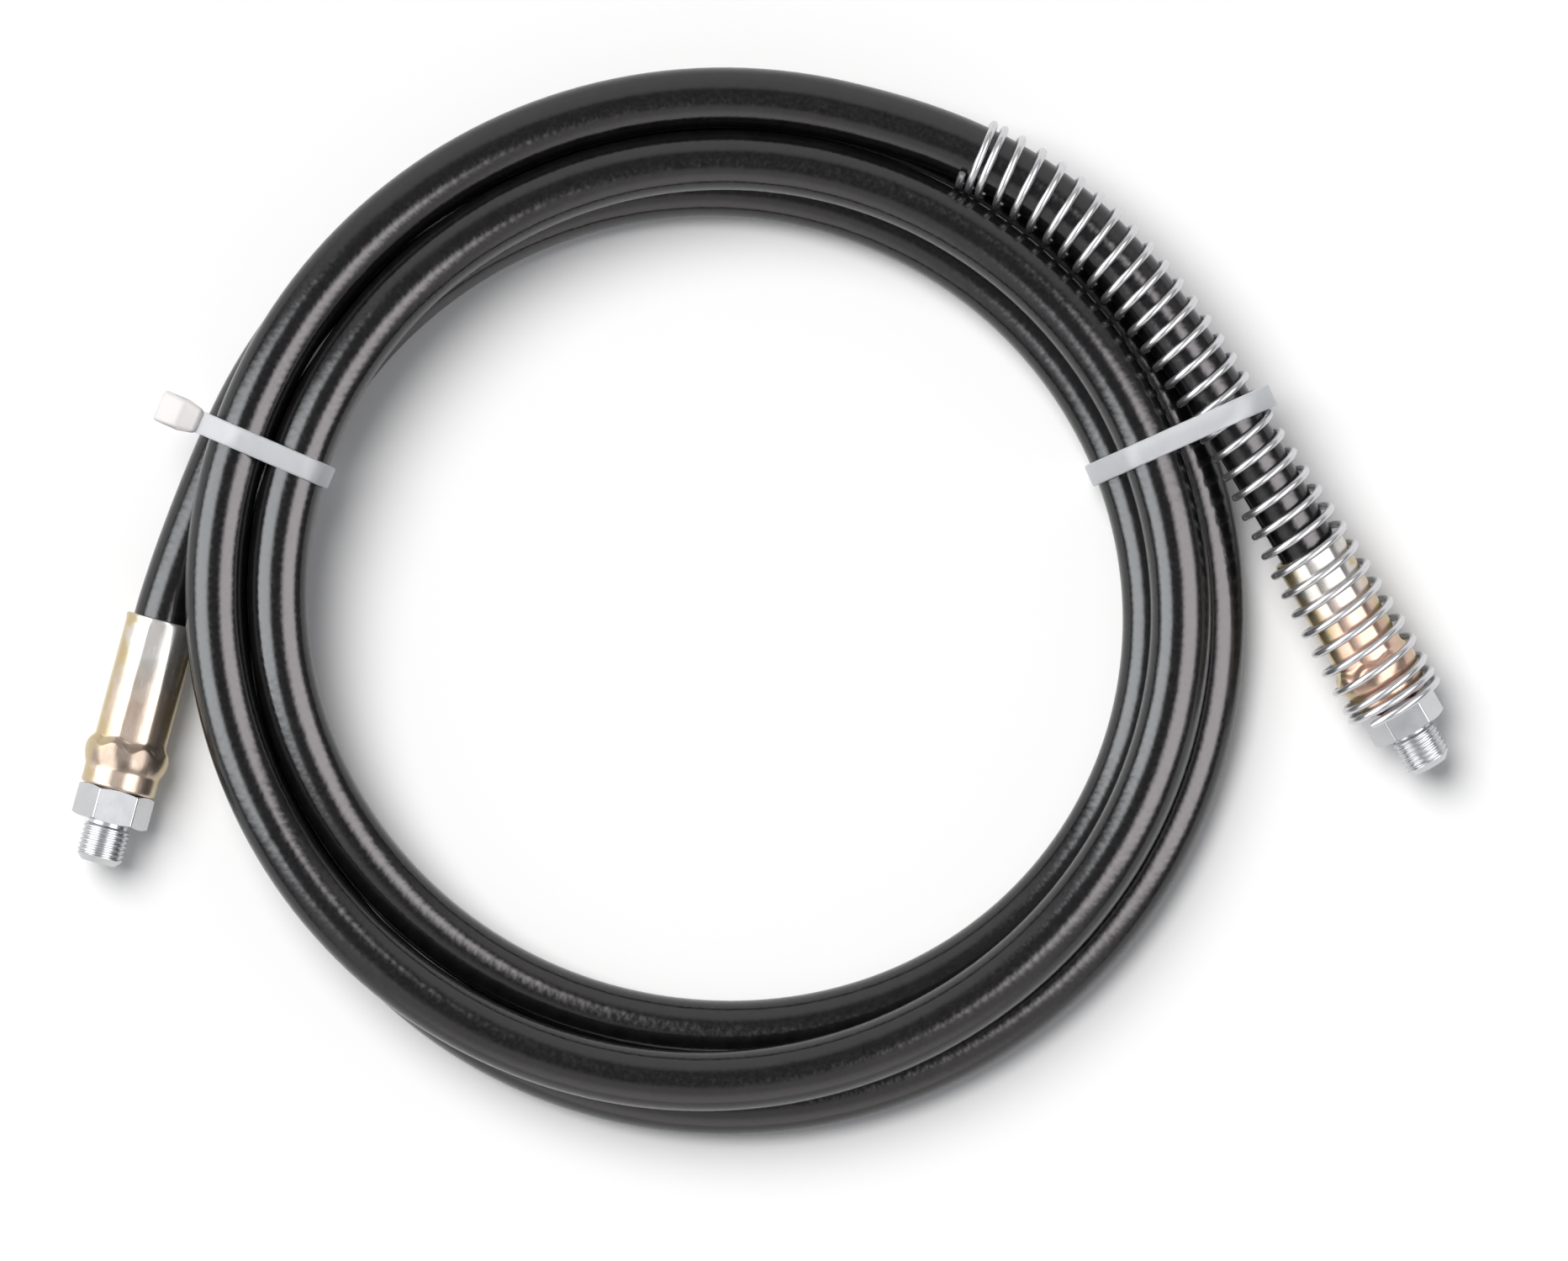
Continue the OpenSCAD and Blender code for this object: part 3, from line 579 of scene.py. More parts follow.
def strap_mesh(bm, circles):
    """A flat band round the strands, with soft edges"""
    line = evenly(hull_line(circles, TIE_EASE), 0.8)
    verts = [bm.verts.new(p - Vector((0.0, TIE_W / 2, 0.0))) for p in line]
    edges = [bm.edges.new((verts[i - 1], verts[i])) for i in range(len(verts))]
    pull(bm, bmesh.ops.extrude_edge_only(bm, edges=edges), (0, TIE_W, 0))
    bmesh.ops.recalc_face_normals(bm, faces=bm.faces)
    middle = sum(line, Vector()) / len(line)
    outward = sum(1 if f.normal.dot(f.calc_center_median() - middle) > 0 else -1 for f in bm.faces)
    if outward < 0:
        bmesh.ops.reverse_faces(bm, faces=bm.faces)
    bmesh.ops.solidify(bm, geom=bm.faces[:], thickness=-TIE_T)
    bmesh.ops.recalc_face_normals(bm, faces=bm.faces)
    long_edges = [e for e in bm.edges if abs(e.verts[0].co.y - e.verts[1].co.y) < 0.01
                  and e.calc_face_angle(0.0) > math.radians(60)]
    round_edges(bm, long_edges, 0.5, 3)


def head_mesh(bm, place, normal_deg):
    """The tie's head: a plain rounded block that steps down and narrows to the strap"""
    front, back, tail = HEAD_BLOCK / 2, -HEAD_BLOCK / 2 - 0.8, HEAD_BLOCK / 2 - HEAD_L
    strap = set(bm.verts)
    outline = [(tail, 0.0), (front, 0.0), (front, HEAD_T), (back, HEAD_T),
               (back - 0.9, 0.84 * HEAD_T), (tail, 0.45 * HEAD_T)]
    side = bm.faces.new([bm.verts.new((x, -HEAD_W / 2, z)) for x, z in outline])
    pull(bm, bmesh.ops.extrude_face_region(bm, geom=[side]), (0, HEAD_W, 0))
    block = {v for v in bm.verts if v not in strap}
    for v in block:
        at_tail = v.co.x <= tail + 0.01
        v.co.y *= 0.78 if at_tail else 1.0 - 0.12 * clamped((back + 2.0 - v.co.x) / 2.0)
    bmesh.ops.recalc_face_normals(bm, faces=[f for f in bm.faces if f.verts[0] in block])
    edges = [e for e in bm.edges
             if e.verts[0] in block and e.calc_face_angle(0.0) > math.radians(35)]
    round_edges(bm, edges, 1.15, 5)
    head = [v for v in bm.verts if v not in strap]
    turn = Matrix.Rotation(-math.radians(normal_deg - 90), 4, "Y")
    to_strap = Matrix.Translation((place[0], 0.0, place[1])) @ turn
    bmesh.ops.transform(bm, matrix=to_strap, verts=head)
    return faces_at(head)


def tie_matrix(spot, along):
    """From a tie's own plane, along X and up Z, to its place in the part"""
    across = UP.cross(along)
    return Matrix(((along.x, across.x, 0.0, spot.x), (along.y, across.y, 0.0, spot.y),
                   (0.0, 0.0, 1.0, 0.0), (0.0, 0.0, 0.0, 1.0)))


def run_normal(p, q):
    """Outward direction of the strap's straight run from one round strand to the next, clockwise"""
    dx, dz = q[0] - p[0], q[1] - p[1]
    lean = math.acos((p[2] - q[2]) / math.hypot(dx, dz))
    return math.degrees(math.atan2(dz, dx)) - math.degrees(lean)


def outermost(strands):
    return max(strands, key=lambda c: c[0] + c[2])


# ---------------------------------------------------------------- finishes

class Nodes:
    """A node tree with short ways to add a pattern"""

    def __init__(self, tree):
        self.tree = tree

    def node(self, kind, **settings):
        made = self.tree.nodes.new(kind)
        for key, value in settings.items():
            setattr(made, key, value)
        return made

    def link(self, out, socket):
        self.tree.links.new(out, socket)

    def feed(self, socket, value):
        """Sets a socket to a number or a colour, or links it to another node's output"""
        if isinstance(value, (int, float)):
            socket.default_value = value
        elif isinstance(value, tuple):
            socket.default_value = (*value, 1.0)
        else:
            self.link(value, socket)

    def coordinates(self, source="Object", scale=(1.0, 1.0, 1.0), turn=(0.0, 0.0, 0.0)):
        where = self.node("ShaderNodeTexCoord").outputs[source]
        mapping = self.node("ShaderNodeMapping")
        mapping.inputs["Scale"].default_value = scale
        mapping.inputs["Rotation"].default_value = turn
        self.link(where, mapping.inputs["Vector"])
        return mapping.outputs["Vector"]

    def noise(self, where, scale, detail=3.0, roughness=0.5, distortion=0.0):
        made = self.node("ShaderNodeTexNoise")
        for socket, value in (("Scale", scale), ("Detail", detail), ("Roughness", roughness),
                              ("Distortion", distortion), ("Vector", where)):
            self.feed(made.inputs[socket], value)
        return made.outputs["Fac"]

    def ramp(self, out, *stops):
        made = self.node("ShaderNodeValToRGB")
        elements = made.color_ramp.elements
        elements[0].position, elements[0].color = stops[0][0], (*stops[0][1], 1.0)
        elements[1].position, elements[1].color = stops[-1][0], (*stops[-1][1], 1.0)
        for at, colour in stops[1:-1]:
            elements.new(at).color = (*colour, 1.0)
        self.link(out, made.inputs["Fac"])
        return made.outputs["Color"]

    def ranged(self, out, low, high, from_low=0.0, from_high=1.0, shape="LINEAR"):
        made = self.node("ShaderNodeMapRange", interpolation_type=shape)
        for socket, value in (("From Min", from_low), ("From Max", from_high), ("To Min", low),
                              ("To Max", high), ("Value", out)):
            self.feed(made.inputs[socket], value)
        return made.outputs["Result"]

    def math(self, operation, *values):
        made = self.node("ShaderNodeMath", operation=operation)
        for value, socket in zip(values, made.inputs):
            self.feed(socket, value)
        return made.outputs["Value"]

    def mixed(self, factor, a, b, blend="MIX"):
        made = self.node("ShaderNodeMix", data_type="RGBA", blend_type=blend)
        for value, socket in ((factor, 0), (a, 6), (b, 7)):
            self.feed(made.inputs[socket], value)
        return made.outputs[2]


class Finish(Nodes):
    """A material with its principled shader"""

    def __init__(self, name, **plain):
        self.material = bpy.data.materials.new(name)
        self.material.use_nodes = True
        super().__init__(self.material.node_tree)
        self.shader = self.tree.nodes["Principled BSDF"]
        for socket, value in plain.items():
            self.shader.inputs[socket.replace("_", " ")].default_value = value

    def to_shader(self, out, socket):
        self.link(out, self.shader.inputs[socket])

    def bump(self, height, strength, distance):
        made = self.node("ShaderNodeBump")
        made.inputs["Strength"].default_value = strength
        made.inputs["Distance"].default_value = distance
        self.link(height, made.inputs["Height"])
        self.to_shader(made.outputs["Normal"], "Normal")


def split(nodes, vector):
    apart = nodes.node("ShaderNodeSeparateXYZ")
    nodes.link(vector, apart.inputs[0])
    return apart.outputs["X"], apart.outputs["Y"]


def split_uv(finish):
    return split(finish, finish.node("ShaderNodeTexCoord").outputs["UV"])


def seen_rays(nodes, *kinds):
    """1 for rays of some kinds, such as those from the camera, and 0 for the others"""
    paths = nodes.node("ShaderNodeLightPath")
    seen = paths.outputs[kinds[0]]
    for kind in kinds[1:]:
        seen = nodes.math("MAXIMUM", seen, paths.outputs[kind])
    return seen


def carrier_lines(finish, radius):
    """Two crossing sets of helical lines at the neutral braid angle, counted in carriers"""
    along, around = split_uv(finish)
    lead = math.tau * radius * MM / math.tan(math.radians(BRAID_ANGLE))
    turns = finish.math("DIVIDE", along, lead)
    return [finish.math("MULTIPLY", finish.math(way, around, turns), BRAID_CARRIERS / 2)
            for way in ("ADD", "SUBTRACT")]


def ridges(finish, lines, to_a_line):
    """Round ridges along a set of lines, some to each line"""
    turns = finish.math("MULTIPLY", lines, to_a_line * math.pi)
    return finish.math("ABSOLUTE", finish.math("SINE", turns))


def shaded(colour, share=1.0):
    return tuple(share * c for c in colour)


def tinted(colour, *shares):
    return tuple(share * c for c, share in zip(colour, shares))


def cover_rubber(colours):
    """Glossy black cover with a trace of the braid beneath and fine lengthwise ripples"""
    f = Finish("cover_rubber", IOR=1.5)
    ripple = f.noise(f.coordinates("UV", scale=(260.0, 9.0, 1.0)), 1.0, 1.0, 0.5)
    f.to_shader(f.ramp(ripple, (0.3, shaded(colours.rubber)), (0.75, shaded(colours.rubber, 1.7))),
                "Base Color")
    fine = f.noise(f.coordinates("Object"), 900.0, 2.0)
    f.to_shader(f.ranged(fine, 0.13, 0.24, 0.3, 0.7), "Roughness")
    left, right = carrier_lines(f, OUTER_BRAID_R)
    braid = f.math("MULTIPLY", ridges(f, left, 1), ridges(f, right, 1))
    f.bump(f.math("ADD", f.math("MULTIPLY", braid, 0.12), ripple), 0.3, 0.0003)
    return f.material


def inner_rubber():
    """Matt black rubber with a fine grain"""
    f = Finish("inner_rubber", Roughness=0.62)
    grain = f.noise(f.coordinates("Object"), 700.0, 4.0)
    f.to_shader(f.ramp(grain, (0.3, (0.018, 0.018, 0.018)), (0.7, (0.04, 0.04, 0.042))),
                "Base Color")
    f.bump(grain, 0.4, 0.0001)
    return f.material


def braid_steel(colours, radius):
    """Crossing bands of fine brass-coated wires, with painted shade in the grooves between the wires
    """
    f = Finish("braid_steel_%02d" % round(radius * 10), Metallic=1.0, Roughness=0.32)
    left, right = carrier_lines(f, radius)
    # Even, and past any count along the hose, so that no count falls below 0
    above_zero = 4800.0
    odd_l, odd_r = (f.math("MODULO", f.math("FLOOR", f.math("ADD", lines, above_zero)), 2.0)
                    for lines in (left, right))
    over = f.math("ABSOLUTE", f.math("SUBTRACT", odd_l, odd_r))
    height = f.math("ADD", f.math("MULTIPLY", ridges(f, left, 6), over),
                    f.math("MULTIPLY", ridges(f, right, 6), f.math("SUBTRACT", 1.0, over)))
    # The dark low stops are painted shade in the grooves between the wires, where the height falls
    # to zero
    f.to_shader(f.ramp(height, (0.0, (0.10, 0.08, 0.05)), (0.35, (0.42, 0.36, 0.26)),
                       (1.0, shaded(colours.braid))), "Base Color")
    f.bump(height, 0.8, 0.00015)
    return f.material


def yellow_zinc(colours, end, blush, shade):
    """Yellow-passivated zinc: grey at the mouth, then pink, with painted shade darkening the bulge;
    the sides and bottom take a deeper yellow, the zinc's own colour deepened by painted side shade
    """
    f = Finish("yellow_zinc_" + end, Metallic=0.82)
    along, around = split_uv(f)
    pale, gold_side_shade = shaded(colours.pale_zinc), shaded(colours.gold_side_shade_zinc)
    pink = tinted(colours.pink_zinc, 1.0 + blush, 1.0 - blush, 1.0 - 1.5 * blush)
    # Painted shade on the bulge: the pink times a share, darker on ferrule A than on B
    dark = shaded(pink, shade)
    base = f.ramp(along, (0.0, pale), (0.22, pale), (0.5, pink), (0.69, pink), (0.74, dark),
                  (0.87, dark), (0.91, pink), (1.0, pink))
    patches = f.noise(f.coordinates("Object"), 130.0, 2.0, 0.5, 0.6)
    base = f.mixed(f.ranged(patches, 0.0, 0.6, 0.45, 0.65), base, pale, "MULTIPLY")
    # Round the ferrule: about 1 at its bottom and -1 at its top
    height = f.math("COSINE", f.math("MULTIPLY", around, math.tau))
    straw = f.noise(f.coordinates("Object", turn=(0.7, 0.2, 0.4)), 160.0, 2.0, 0.5, 0.4)
    wavy = f.math("ADD", height, f.ranged(straw, -0.25, 0.25, 0.3, 0.7))
    # 1 on the sides and bottom, which take the deeper yellow: partly the zinc's own colour and
    # partly painted shade and reflection colour; only the top keeps the pale and pink
    painted_side_shade = f.ranged(wavy, 0.0, 1.0, -0.75, -0.45)
    f.to_shader(f.mixed(painted_side_shade, base, gold_side_shade), "Base Color")
    smear = f.noise(f.coordinates("UV", scale=(3.0, 60.0, 1.0)), 3.0, 4.0, 0.6)
    f.to_shader(f.ranged(smear, 0.18, 0.28, 0.3, 0.7), "Roughness")
    f.bump(smear, 0.12, 0.0001)
    return f.material


def bright_zinc(colours):
    """Clear-passivated zinc on turned and milled steel"""
    f = Finish("bright_zinc", Metallic=1.0)
    cloud = f.noise(f.coordinates("Object"), 140.0, 4.0, 0.55)
    f.to_shader(f.ramp(cloud, (0.3, shaded(colours.zinc, 0.93)), (0.7, shaded(colours.zinc))),
                "Base Color")
    turning = f.noise(f.coordinates("UV", scale=(420.0, 6.0, 1.0)), 1.0, 2.0)
    f.to_shader(f.ranged(cloud, 0.23, 0.31, 0.3, 0.7), "Roughness")
    f.bump(turning, 0.10, 0.00006)
    return f.material


def bright_wire(colours):
    """Drawn spring wire with faint lengthwise streaks"""
    f = Finish("bright_wire", Metallic=0.9)
    streaks = f.noise(f.coordinates("UV", scale=(30.0, 14.0, 1.0)), 2.0, 4.0)
    f.to_shader(f.ramp(streaks, (0.3, shaded(colours.wire, 0.82)), (0.7, shaded(colours.wire))),
                "Base Color")
    f.to_shader(f.ranged(streaks, 0.2, 0.32, 0.3, 0.7), "Roughness")
    f.bump(streaks, 0.15, 0.00005)
    return f.material


def milky_nylon(colours, name, through, warmth):
    """Natural nylon, see-through and cooler where it is thin"""
    f = Finish(name, Roughness=0.3, IOR=1.53, Transmission_Weight=through)
    cloud = f.noise(f.coordinates("Object"), 220.0, 3.0)
    tint = tinted(colours.nylon, 1.0 + warmth, 1.0, 1.0 - warmth)
    f.to_shader(f.ramp(cloud, (0.3, shaded(tint, 0.96)), (0.7, tint)), "Base Color")
    f.bump(cloud, 0.15, 0.0001)
    return f.material


# ---------------------------------------------------------------- settings

class HoseAssemblySizes(bpy.types.PropertyGroup):
    """Sizes of the details that the finished pieces carry"""

    crimp_flat: FloatProperty(
        name="Crimp flat", description="How far each crimping die flattens the sleeve",
        default=0.0002, min=0.0, max=0.0006, unit="LENGTH", precision=5)
    die_flatness: FloatProperty(
        name="Die flatness", description="1 for flat die faces, 0 for round ones",
        default=0.62, min=0.0, max=1.0, subtype="FACTOR")
    thread_pitch: FloatProperty(
        name="Thread pitch", description="Distance between the crests of the pipe thread",
        default=0.001337, min=0.0009, max=0.002, unit="LENGTH", precision=5)
    thread_depth: FloatProperty(
        name="Thread depth", description="Depth of the pipe thread",
        default=0.00042, min=0.0003, max=0.0009, unit="LENGTH", precision=5)
    wire_diameter: FloatProperty(
        name="Spring wire", description="Diameter of the guard spring's wire",
        default=0.0022, min=0.0018, max=0.0024, unit="LENGTH", precision=5)
    hexagon_turn_a: FloatProperty(
        name="Hexagon A turn", description="Turn of hexagon A about its axis",
        default=math.radians(-6.6), subtype="ANGLE")
    dies_turn_a: FloatProperty(
        name="Dies A turn", description="Turn of ferrule A's crimp about its axis",
        default=math.radians(-3.5), subtype="ANGLE")
    dies_turn_b: FloatProperty(
        name="Dies B turn", description="Turn of ferrule B's crimp about its axis",
        default=math.radians(-6.5), subtype="ANGLE")


class HoseAssemblyColours(bpy.types.PropertyGroup):
    """Base colours of the finishes"""

    rubber: FloatVectorProperty(
        name="Cover rubber", description="Colour of the hose cover",
        subtype="COLOR", size=3, default=(0.0045, 0.0045, 0.0047), min=0.0, max=1.0)
    braid: FloatVectorProperty(
        name="Wire braid", description="Colour of the wire braids",
        subtype="COLOR", size=3, default=(0.74, 0.66, 0.50), min=0.0, max=1.0)
    pale_zinc: FloatVectorProperty(
        name="Pale zinc", description="Ferrule colour at its mouth",
        subtype="COLOR", size=3, default=(0.70, 0.68, 0.65), min=0.0, max=1.0)
    # The zinc's yellow deepened by painted side shade, for the ferrule's sides and bottom
    gold_side_shade_zinc: FloatVectorProperty(
        name="Gold zinc", description="Ferrule colour low on its sides",
        subtype="COLOR", size=3, default=(0.56, 0.45, 0.27), min=0.0, max=1.0)
    pink_zinc: FloatVectorProperty(
        name="Pink zinc", description="Ferrule colour on its middle and bulge",
        subtype="COLOR", size=3, default=(0.68, 0.55, 0.45), min=0.0, max=1.0)
    zinc: FloatVectorProperty(
        name="Bright zinc", description="Colour of hexagons and threads",
        subtype="COLOR", size=3, default=(0.60, 0.605, 0.62), min=0.0, max=1.0)
    wire: FloatVectorProperty(
        name="Spring wire", description="Colour of the guard spring",
        subtype="COLOR", size=3, default=(0.70, 0.70, 0.72), min=0.0, max=1.0)
    nylon: FloatVectorProperty(
        name="Nylon", description="Colour of the cable ties",
        subtype="COLOR", size=3, default=(0.85, 0.84, 0.84), min=0.0, max=1.0)


class HoseAssemblyStudio(bpy.types.PropertyGroup):
    """Camera, floor and light"""

    view_height: FloatProperty(
        name="Camera height", description="Height of the camera above the floor",
        default=5.0, min=1.0, unit="LENGTH")
    view_middle: FloatVectorProperty(
        name="Camera middle", description="Where the camera looks straight down",
        size=2, default=(0.00674, -0.00791), unit="LENGTH", precision=5)
    pixels_per_metre: FloatProperty(
        name="Picture scale", description="Pixels to a metre at the top of the coil",
        default=4280.0, min=100.0)
    sun: FloatProperty(
        name="Key light", description="Light that the key lamp throws on the floor, 1 for white",
        default=0.795, min=0.0)
    key_tilt: FloatProperty(
        name="Key light tilt", description="Degrees that the key light leans off the vertical",
        default=29.0, min=0.0, max=80.0)
    ambient: FloatProperty(
        name="Fill light", description="Even light from all round",
        default=0.225, min=0.0)
    hose_glow: FloatProperty(
        name="Boxes in the hose", description="Brightness of the side boxes in the hose",
        default=8.0, min=0.0)
    metal_glow: FloatProperty(
        name="Boxes in the metal", description="Brightness of the side boxes in the other pieces",
        default=2.7, min=0.0)
    top_glow: FloatProperty(
        name="Box overhead", description="Brightness of the overhead box in the other pieces",
        default=0.4, min=0.0)


# ---------------------------------------------------------------- operators

class HOSE_OT_camera(bpy.types.Operator):
    """Place the camera straight above the coil"""

    bl_idname = "hose_assembly.camera"
    bl_label = "Camera"

    def execute(self, context):
        studio = context.scene.hose_assembly_studio
        camera = bpy.data.cameras.new("overhead_camera")
        camera.sensor_width = SENSOR_W
        reach = studio.view_height - COIL_TOP
        camera.lens = studio.pixels_per_metre * reach * SENSOR_W / PICTURE_W
        camera.clip_start, camera.clip_end = 0.05, 100.0
        placed = bpy.data.objects.new("overhead_camera", camera)
        placed.location = (*studio.view_middle, studio.view_height)
        context.scene.collection.objects.link(placed)
        context.scene.camera = placed
        return {"FINISHED"}


class HOSE_OT_layers(bpy.types.Operator):
    bl_idname = "hose_assembly.layers"
    bl_label = "Hose layers"

    def execute(self, context):
        colours = context.scene.hose_assembly_colours
        rubber = inner_rubber()
        inner_wire, outer_wire = (braid_steel(colours, r) for r in (INNER_BRAID_R, OUTER_BRAID_R))
        inside = [hose_layer(name, slot, r_in, r_out - LAYER_GAP, INSIDE_MESH, finish)
                  for name, slot, r_in, r_out, finish in (
                      ("inner_tube", "inner_rubber", BORE_R, TUBE_R, rubber),
                      ("inner_wire_braid", "braid_steel", TUBE_R, INNER_BRAID_R, inner_wire),
                      ("friction_layer", "inner_rubber", INNER_BRAID_R, FRICTION_R, rubber),
                      ("outer_wire_braid", "braid_steel", FRICTION_R, OUTER_BRAID_R, outer_wire))]
        cover = hose_layer("hose_cover", "cover_rubber", OUTER_BRAID_R, HOSE_R, COVER_MESH,
                           cover_rubber(colours))
        return {"FINISHED"}


class HOSE_OT_ferrules(bpy.types.Operator):
    """Form the two crimped ferrules"""

    bl_idname = "hose_assembly.ferrules"
    bl_label = "Ferrules"

    def execute(self, context):
        sizes = context.scene.hose_assembly_sizes
        # The last number of each is the share of painted shade on its bulge
        for end, matrix, blush, shade in (
                ("a", end_matrix(MOUTH_A, HEADING_A, 0.0, sizes.dies_turn_a), 0.0, 0.68),
                ("b", end_matrix(MOUTH_B, HEADING_B, DIP, sizes.dies_turn_b), 0.08, 0.9)):
            zinc = yellow_zinc(context.scene.hose_assembly_colours, end, blush, shade)
            bm = ferrule_mesh(sizes)
            bmesh.ops.transform(bm, matrix=matrix, verts=bm.verts)
            piece = piece_from(bm, "crimped_ferrule_" + end, "ferrule_steel", zinc)
            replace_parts(piece, "ferrule_" + end)
        return {"FINISHED"}


class HOSE_OT_inserts(bpy.types.Operator):
    """Turn the two threaded inserts with their hexagons and barbed tails"""

    bl_idname = "hose_assembly.inserts"
    bl_label = "Fitting inserts"

    def execute(self, context):
        sizes = context.scene.hose_assembly_sizes
        zinc = bright_zinc(context.scene.hose_assembly_colours)
        for end, matrix in (("a", end_matrix(MOUTH_A, HEADING_A, 0.0, sizes.hexagon_turn_a)),
                            ("b", end_matrix(MOUTH_B, HEADING_B, DIP, 0.0))):
            bm = insert_mesh(sizes)
            bmesh.ops.transform(bm, matrix=matrix, verts=bm.verts)
            piece = piece_from(bm, "threaded_insert_" + end, "insert_steel", zinc)
            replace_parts(piece, "fitting_insert_" + end)
        return {"FINISHED"}


class HOSE_OT_spring(bpy.types.Operator):
    """Wind the guard spring over ferrule B and its end of the hose"""

    bl_idname = "hose_assembly.spring"
    bl_label = "Guard spring"

    def execute(self, context):
        wire_r = context.scene.hose_assembly_sizes.wire_diameter / MM / 2
        places, outs = [], []
        for i in range(SPRING_TURNS * SPRING_STEPS + 1):
            turn = i / SPRING_STEPS
            s = self.distance(turn)
            side, top = upright(heading_at(s))
            round_hose = turn * math.tau + math.radians(SPRING_START_DEG)
            out = math.cos(round_hose) * top + math.sin(round_hose) * side
            places.append(place_at(s) + between(SPRING_RADII, s) * out)
            outs.append(out)
        last = len(places) - 1
        rings = [(places[i], (places[min(i + 1, last)] - places[max(i - 1, 0)]).normalized(),
                  outs[i]) for i in range(last + 1)]
        bm = bmesh.new()
        bm.loops.layers.uv.new("UVMap")
        skin_along(bm, rings, lambda i: wire_r - (WIRE_END_EDGE if i in (0, last) else 0.0),
                   WIRE_SIDES)
        bmesh.ops.remove_doubles(bm, verts=bm.verts, dist=0.001)
        bmesh.ops.holes_fill(bm, edges=[e for e in bm.edges if e.is_boundary], sides=0)
        face_out(bm, 50)
        wire = bright_wire(context.scene.hose_assembly_colours)
        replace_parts(piece_from(bm, "guard_spring_wire", "spring_wire", wire), "guard_spring")
        return {"FINISHED"}

    def distance(self, turn):
        """Distance of a turn along the hose, with close turns at both ends"""
        close_len = CLOSE_TURNS * CLOSE_PITCH
        if turn < CLOSE_TURNS:
            return -SPRING_END + turn * CLOSE_PITCH
        if turn < SPRING_TURNS - CLOSE_TURNS:
            open_pitch = ((SPRING_ON_HOSE + SPRING_END - 2 * close_len)
                          / (SPRING_TURNS - 2 * CLOSE_TURNS))
            return -SPRING_END + close_len + (turn - CLOSE_TURNS) * open_pitch
        return SPRING_ON_HOSE - (SPRING_TURNS - turn) * CLOSE_PITCH


class HOSE_OT_ties(bpy.types.Operator):
    """Close the two cable ties round the strands"""

    bl_idname = "hose_assembly.ties"
    bl_label = "Cable ties"

    def execute(self, context):
        colours = context.scene.hose_assembly_colours
        thin = milky_nylon(colours, "milky_nylon_strap", 0.45, -0.03)
        thick = milky_nylon(colours, "milky_nylon_head", 0.12, 0.02)
        middle_height = LOWER_Z + HOSE_R

        # Tie A's head stands off from the coil, so the strap also turns round a point in its head
        spot, along = tie_frame(TIE_A_DEG, -TIE_SKEW)
        strands = strands_in(spot, along)
        high = outermost([c for c in strands if c[1] > middle_height])
        slot = (max(c[0] + c[2] for c in strands) + HEAD_OFF, high[1], TIE_T - TIE_EASE)
        normal = run_normal(slot, high)
        head = Vector(slot[:2]) + 1.5 * TIE_T * polar(1.0, normal).xy
        self.tie("a", spot, along, strands + [slot], head, normal, thin, thick)

        # Tie B's head lies on its strap's outer run
        spot, along = tie_frame(TIE_B_DEG, TIE_SKEW)
        strands = strands_in(spot, along)
        outer, lower = outermost(strands), outermost([c for c in strands if c[1] < middle_height])
        normal = run_normal(lower, outer)
        off = (lower[2] + outer[2] + TIE_T) / 2 + TIE_EASE
        head = (Vector(lower[:2]) + Vector(outer[:2])) / 2 + off * polar(1.0, normal).xy
        self.tie("b", spot, along, strands, head, normal, thin, thick)
        return {"FINISHED"}

    def tie(self, end, spot, along, circles, head, normal, thin, thick):
        bm = bmesh.new()
        strap_mesh(bm, circles)
        for face in head_mesh(bm, head, normal):
            face.material_index = 1
        bmesh.ops.transform(bm, matrix=tie_matrix(spot, along), verts=bm.verts)
        soften(bm, 40)
        piece = piece_from(bm, "nylon_tie_" + end, "tie_nylon", thin, thick)
        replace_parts(piece, "cable_tie_" + end)


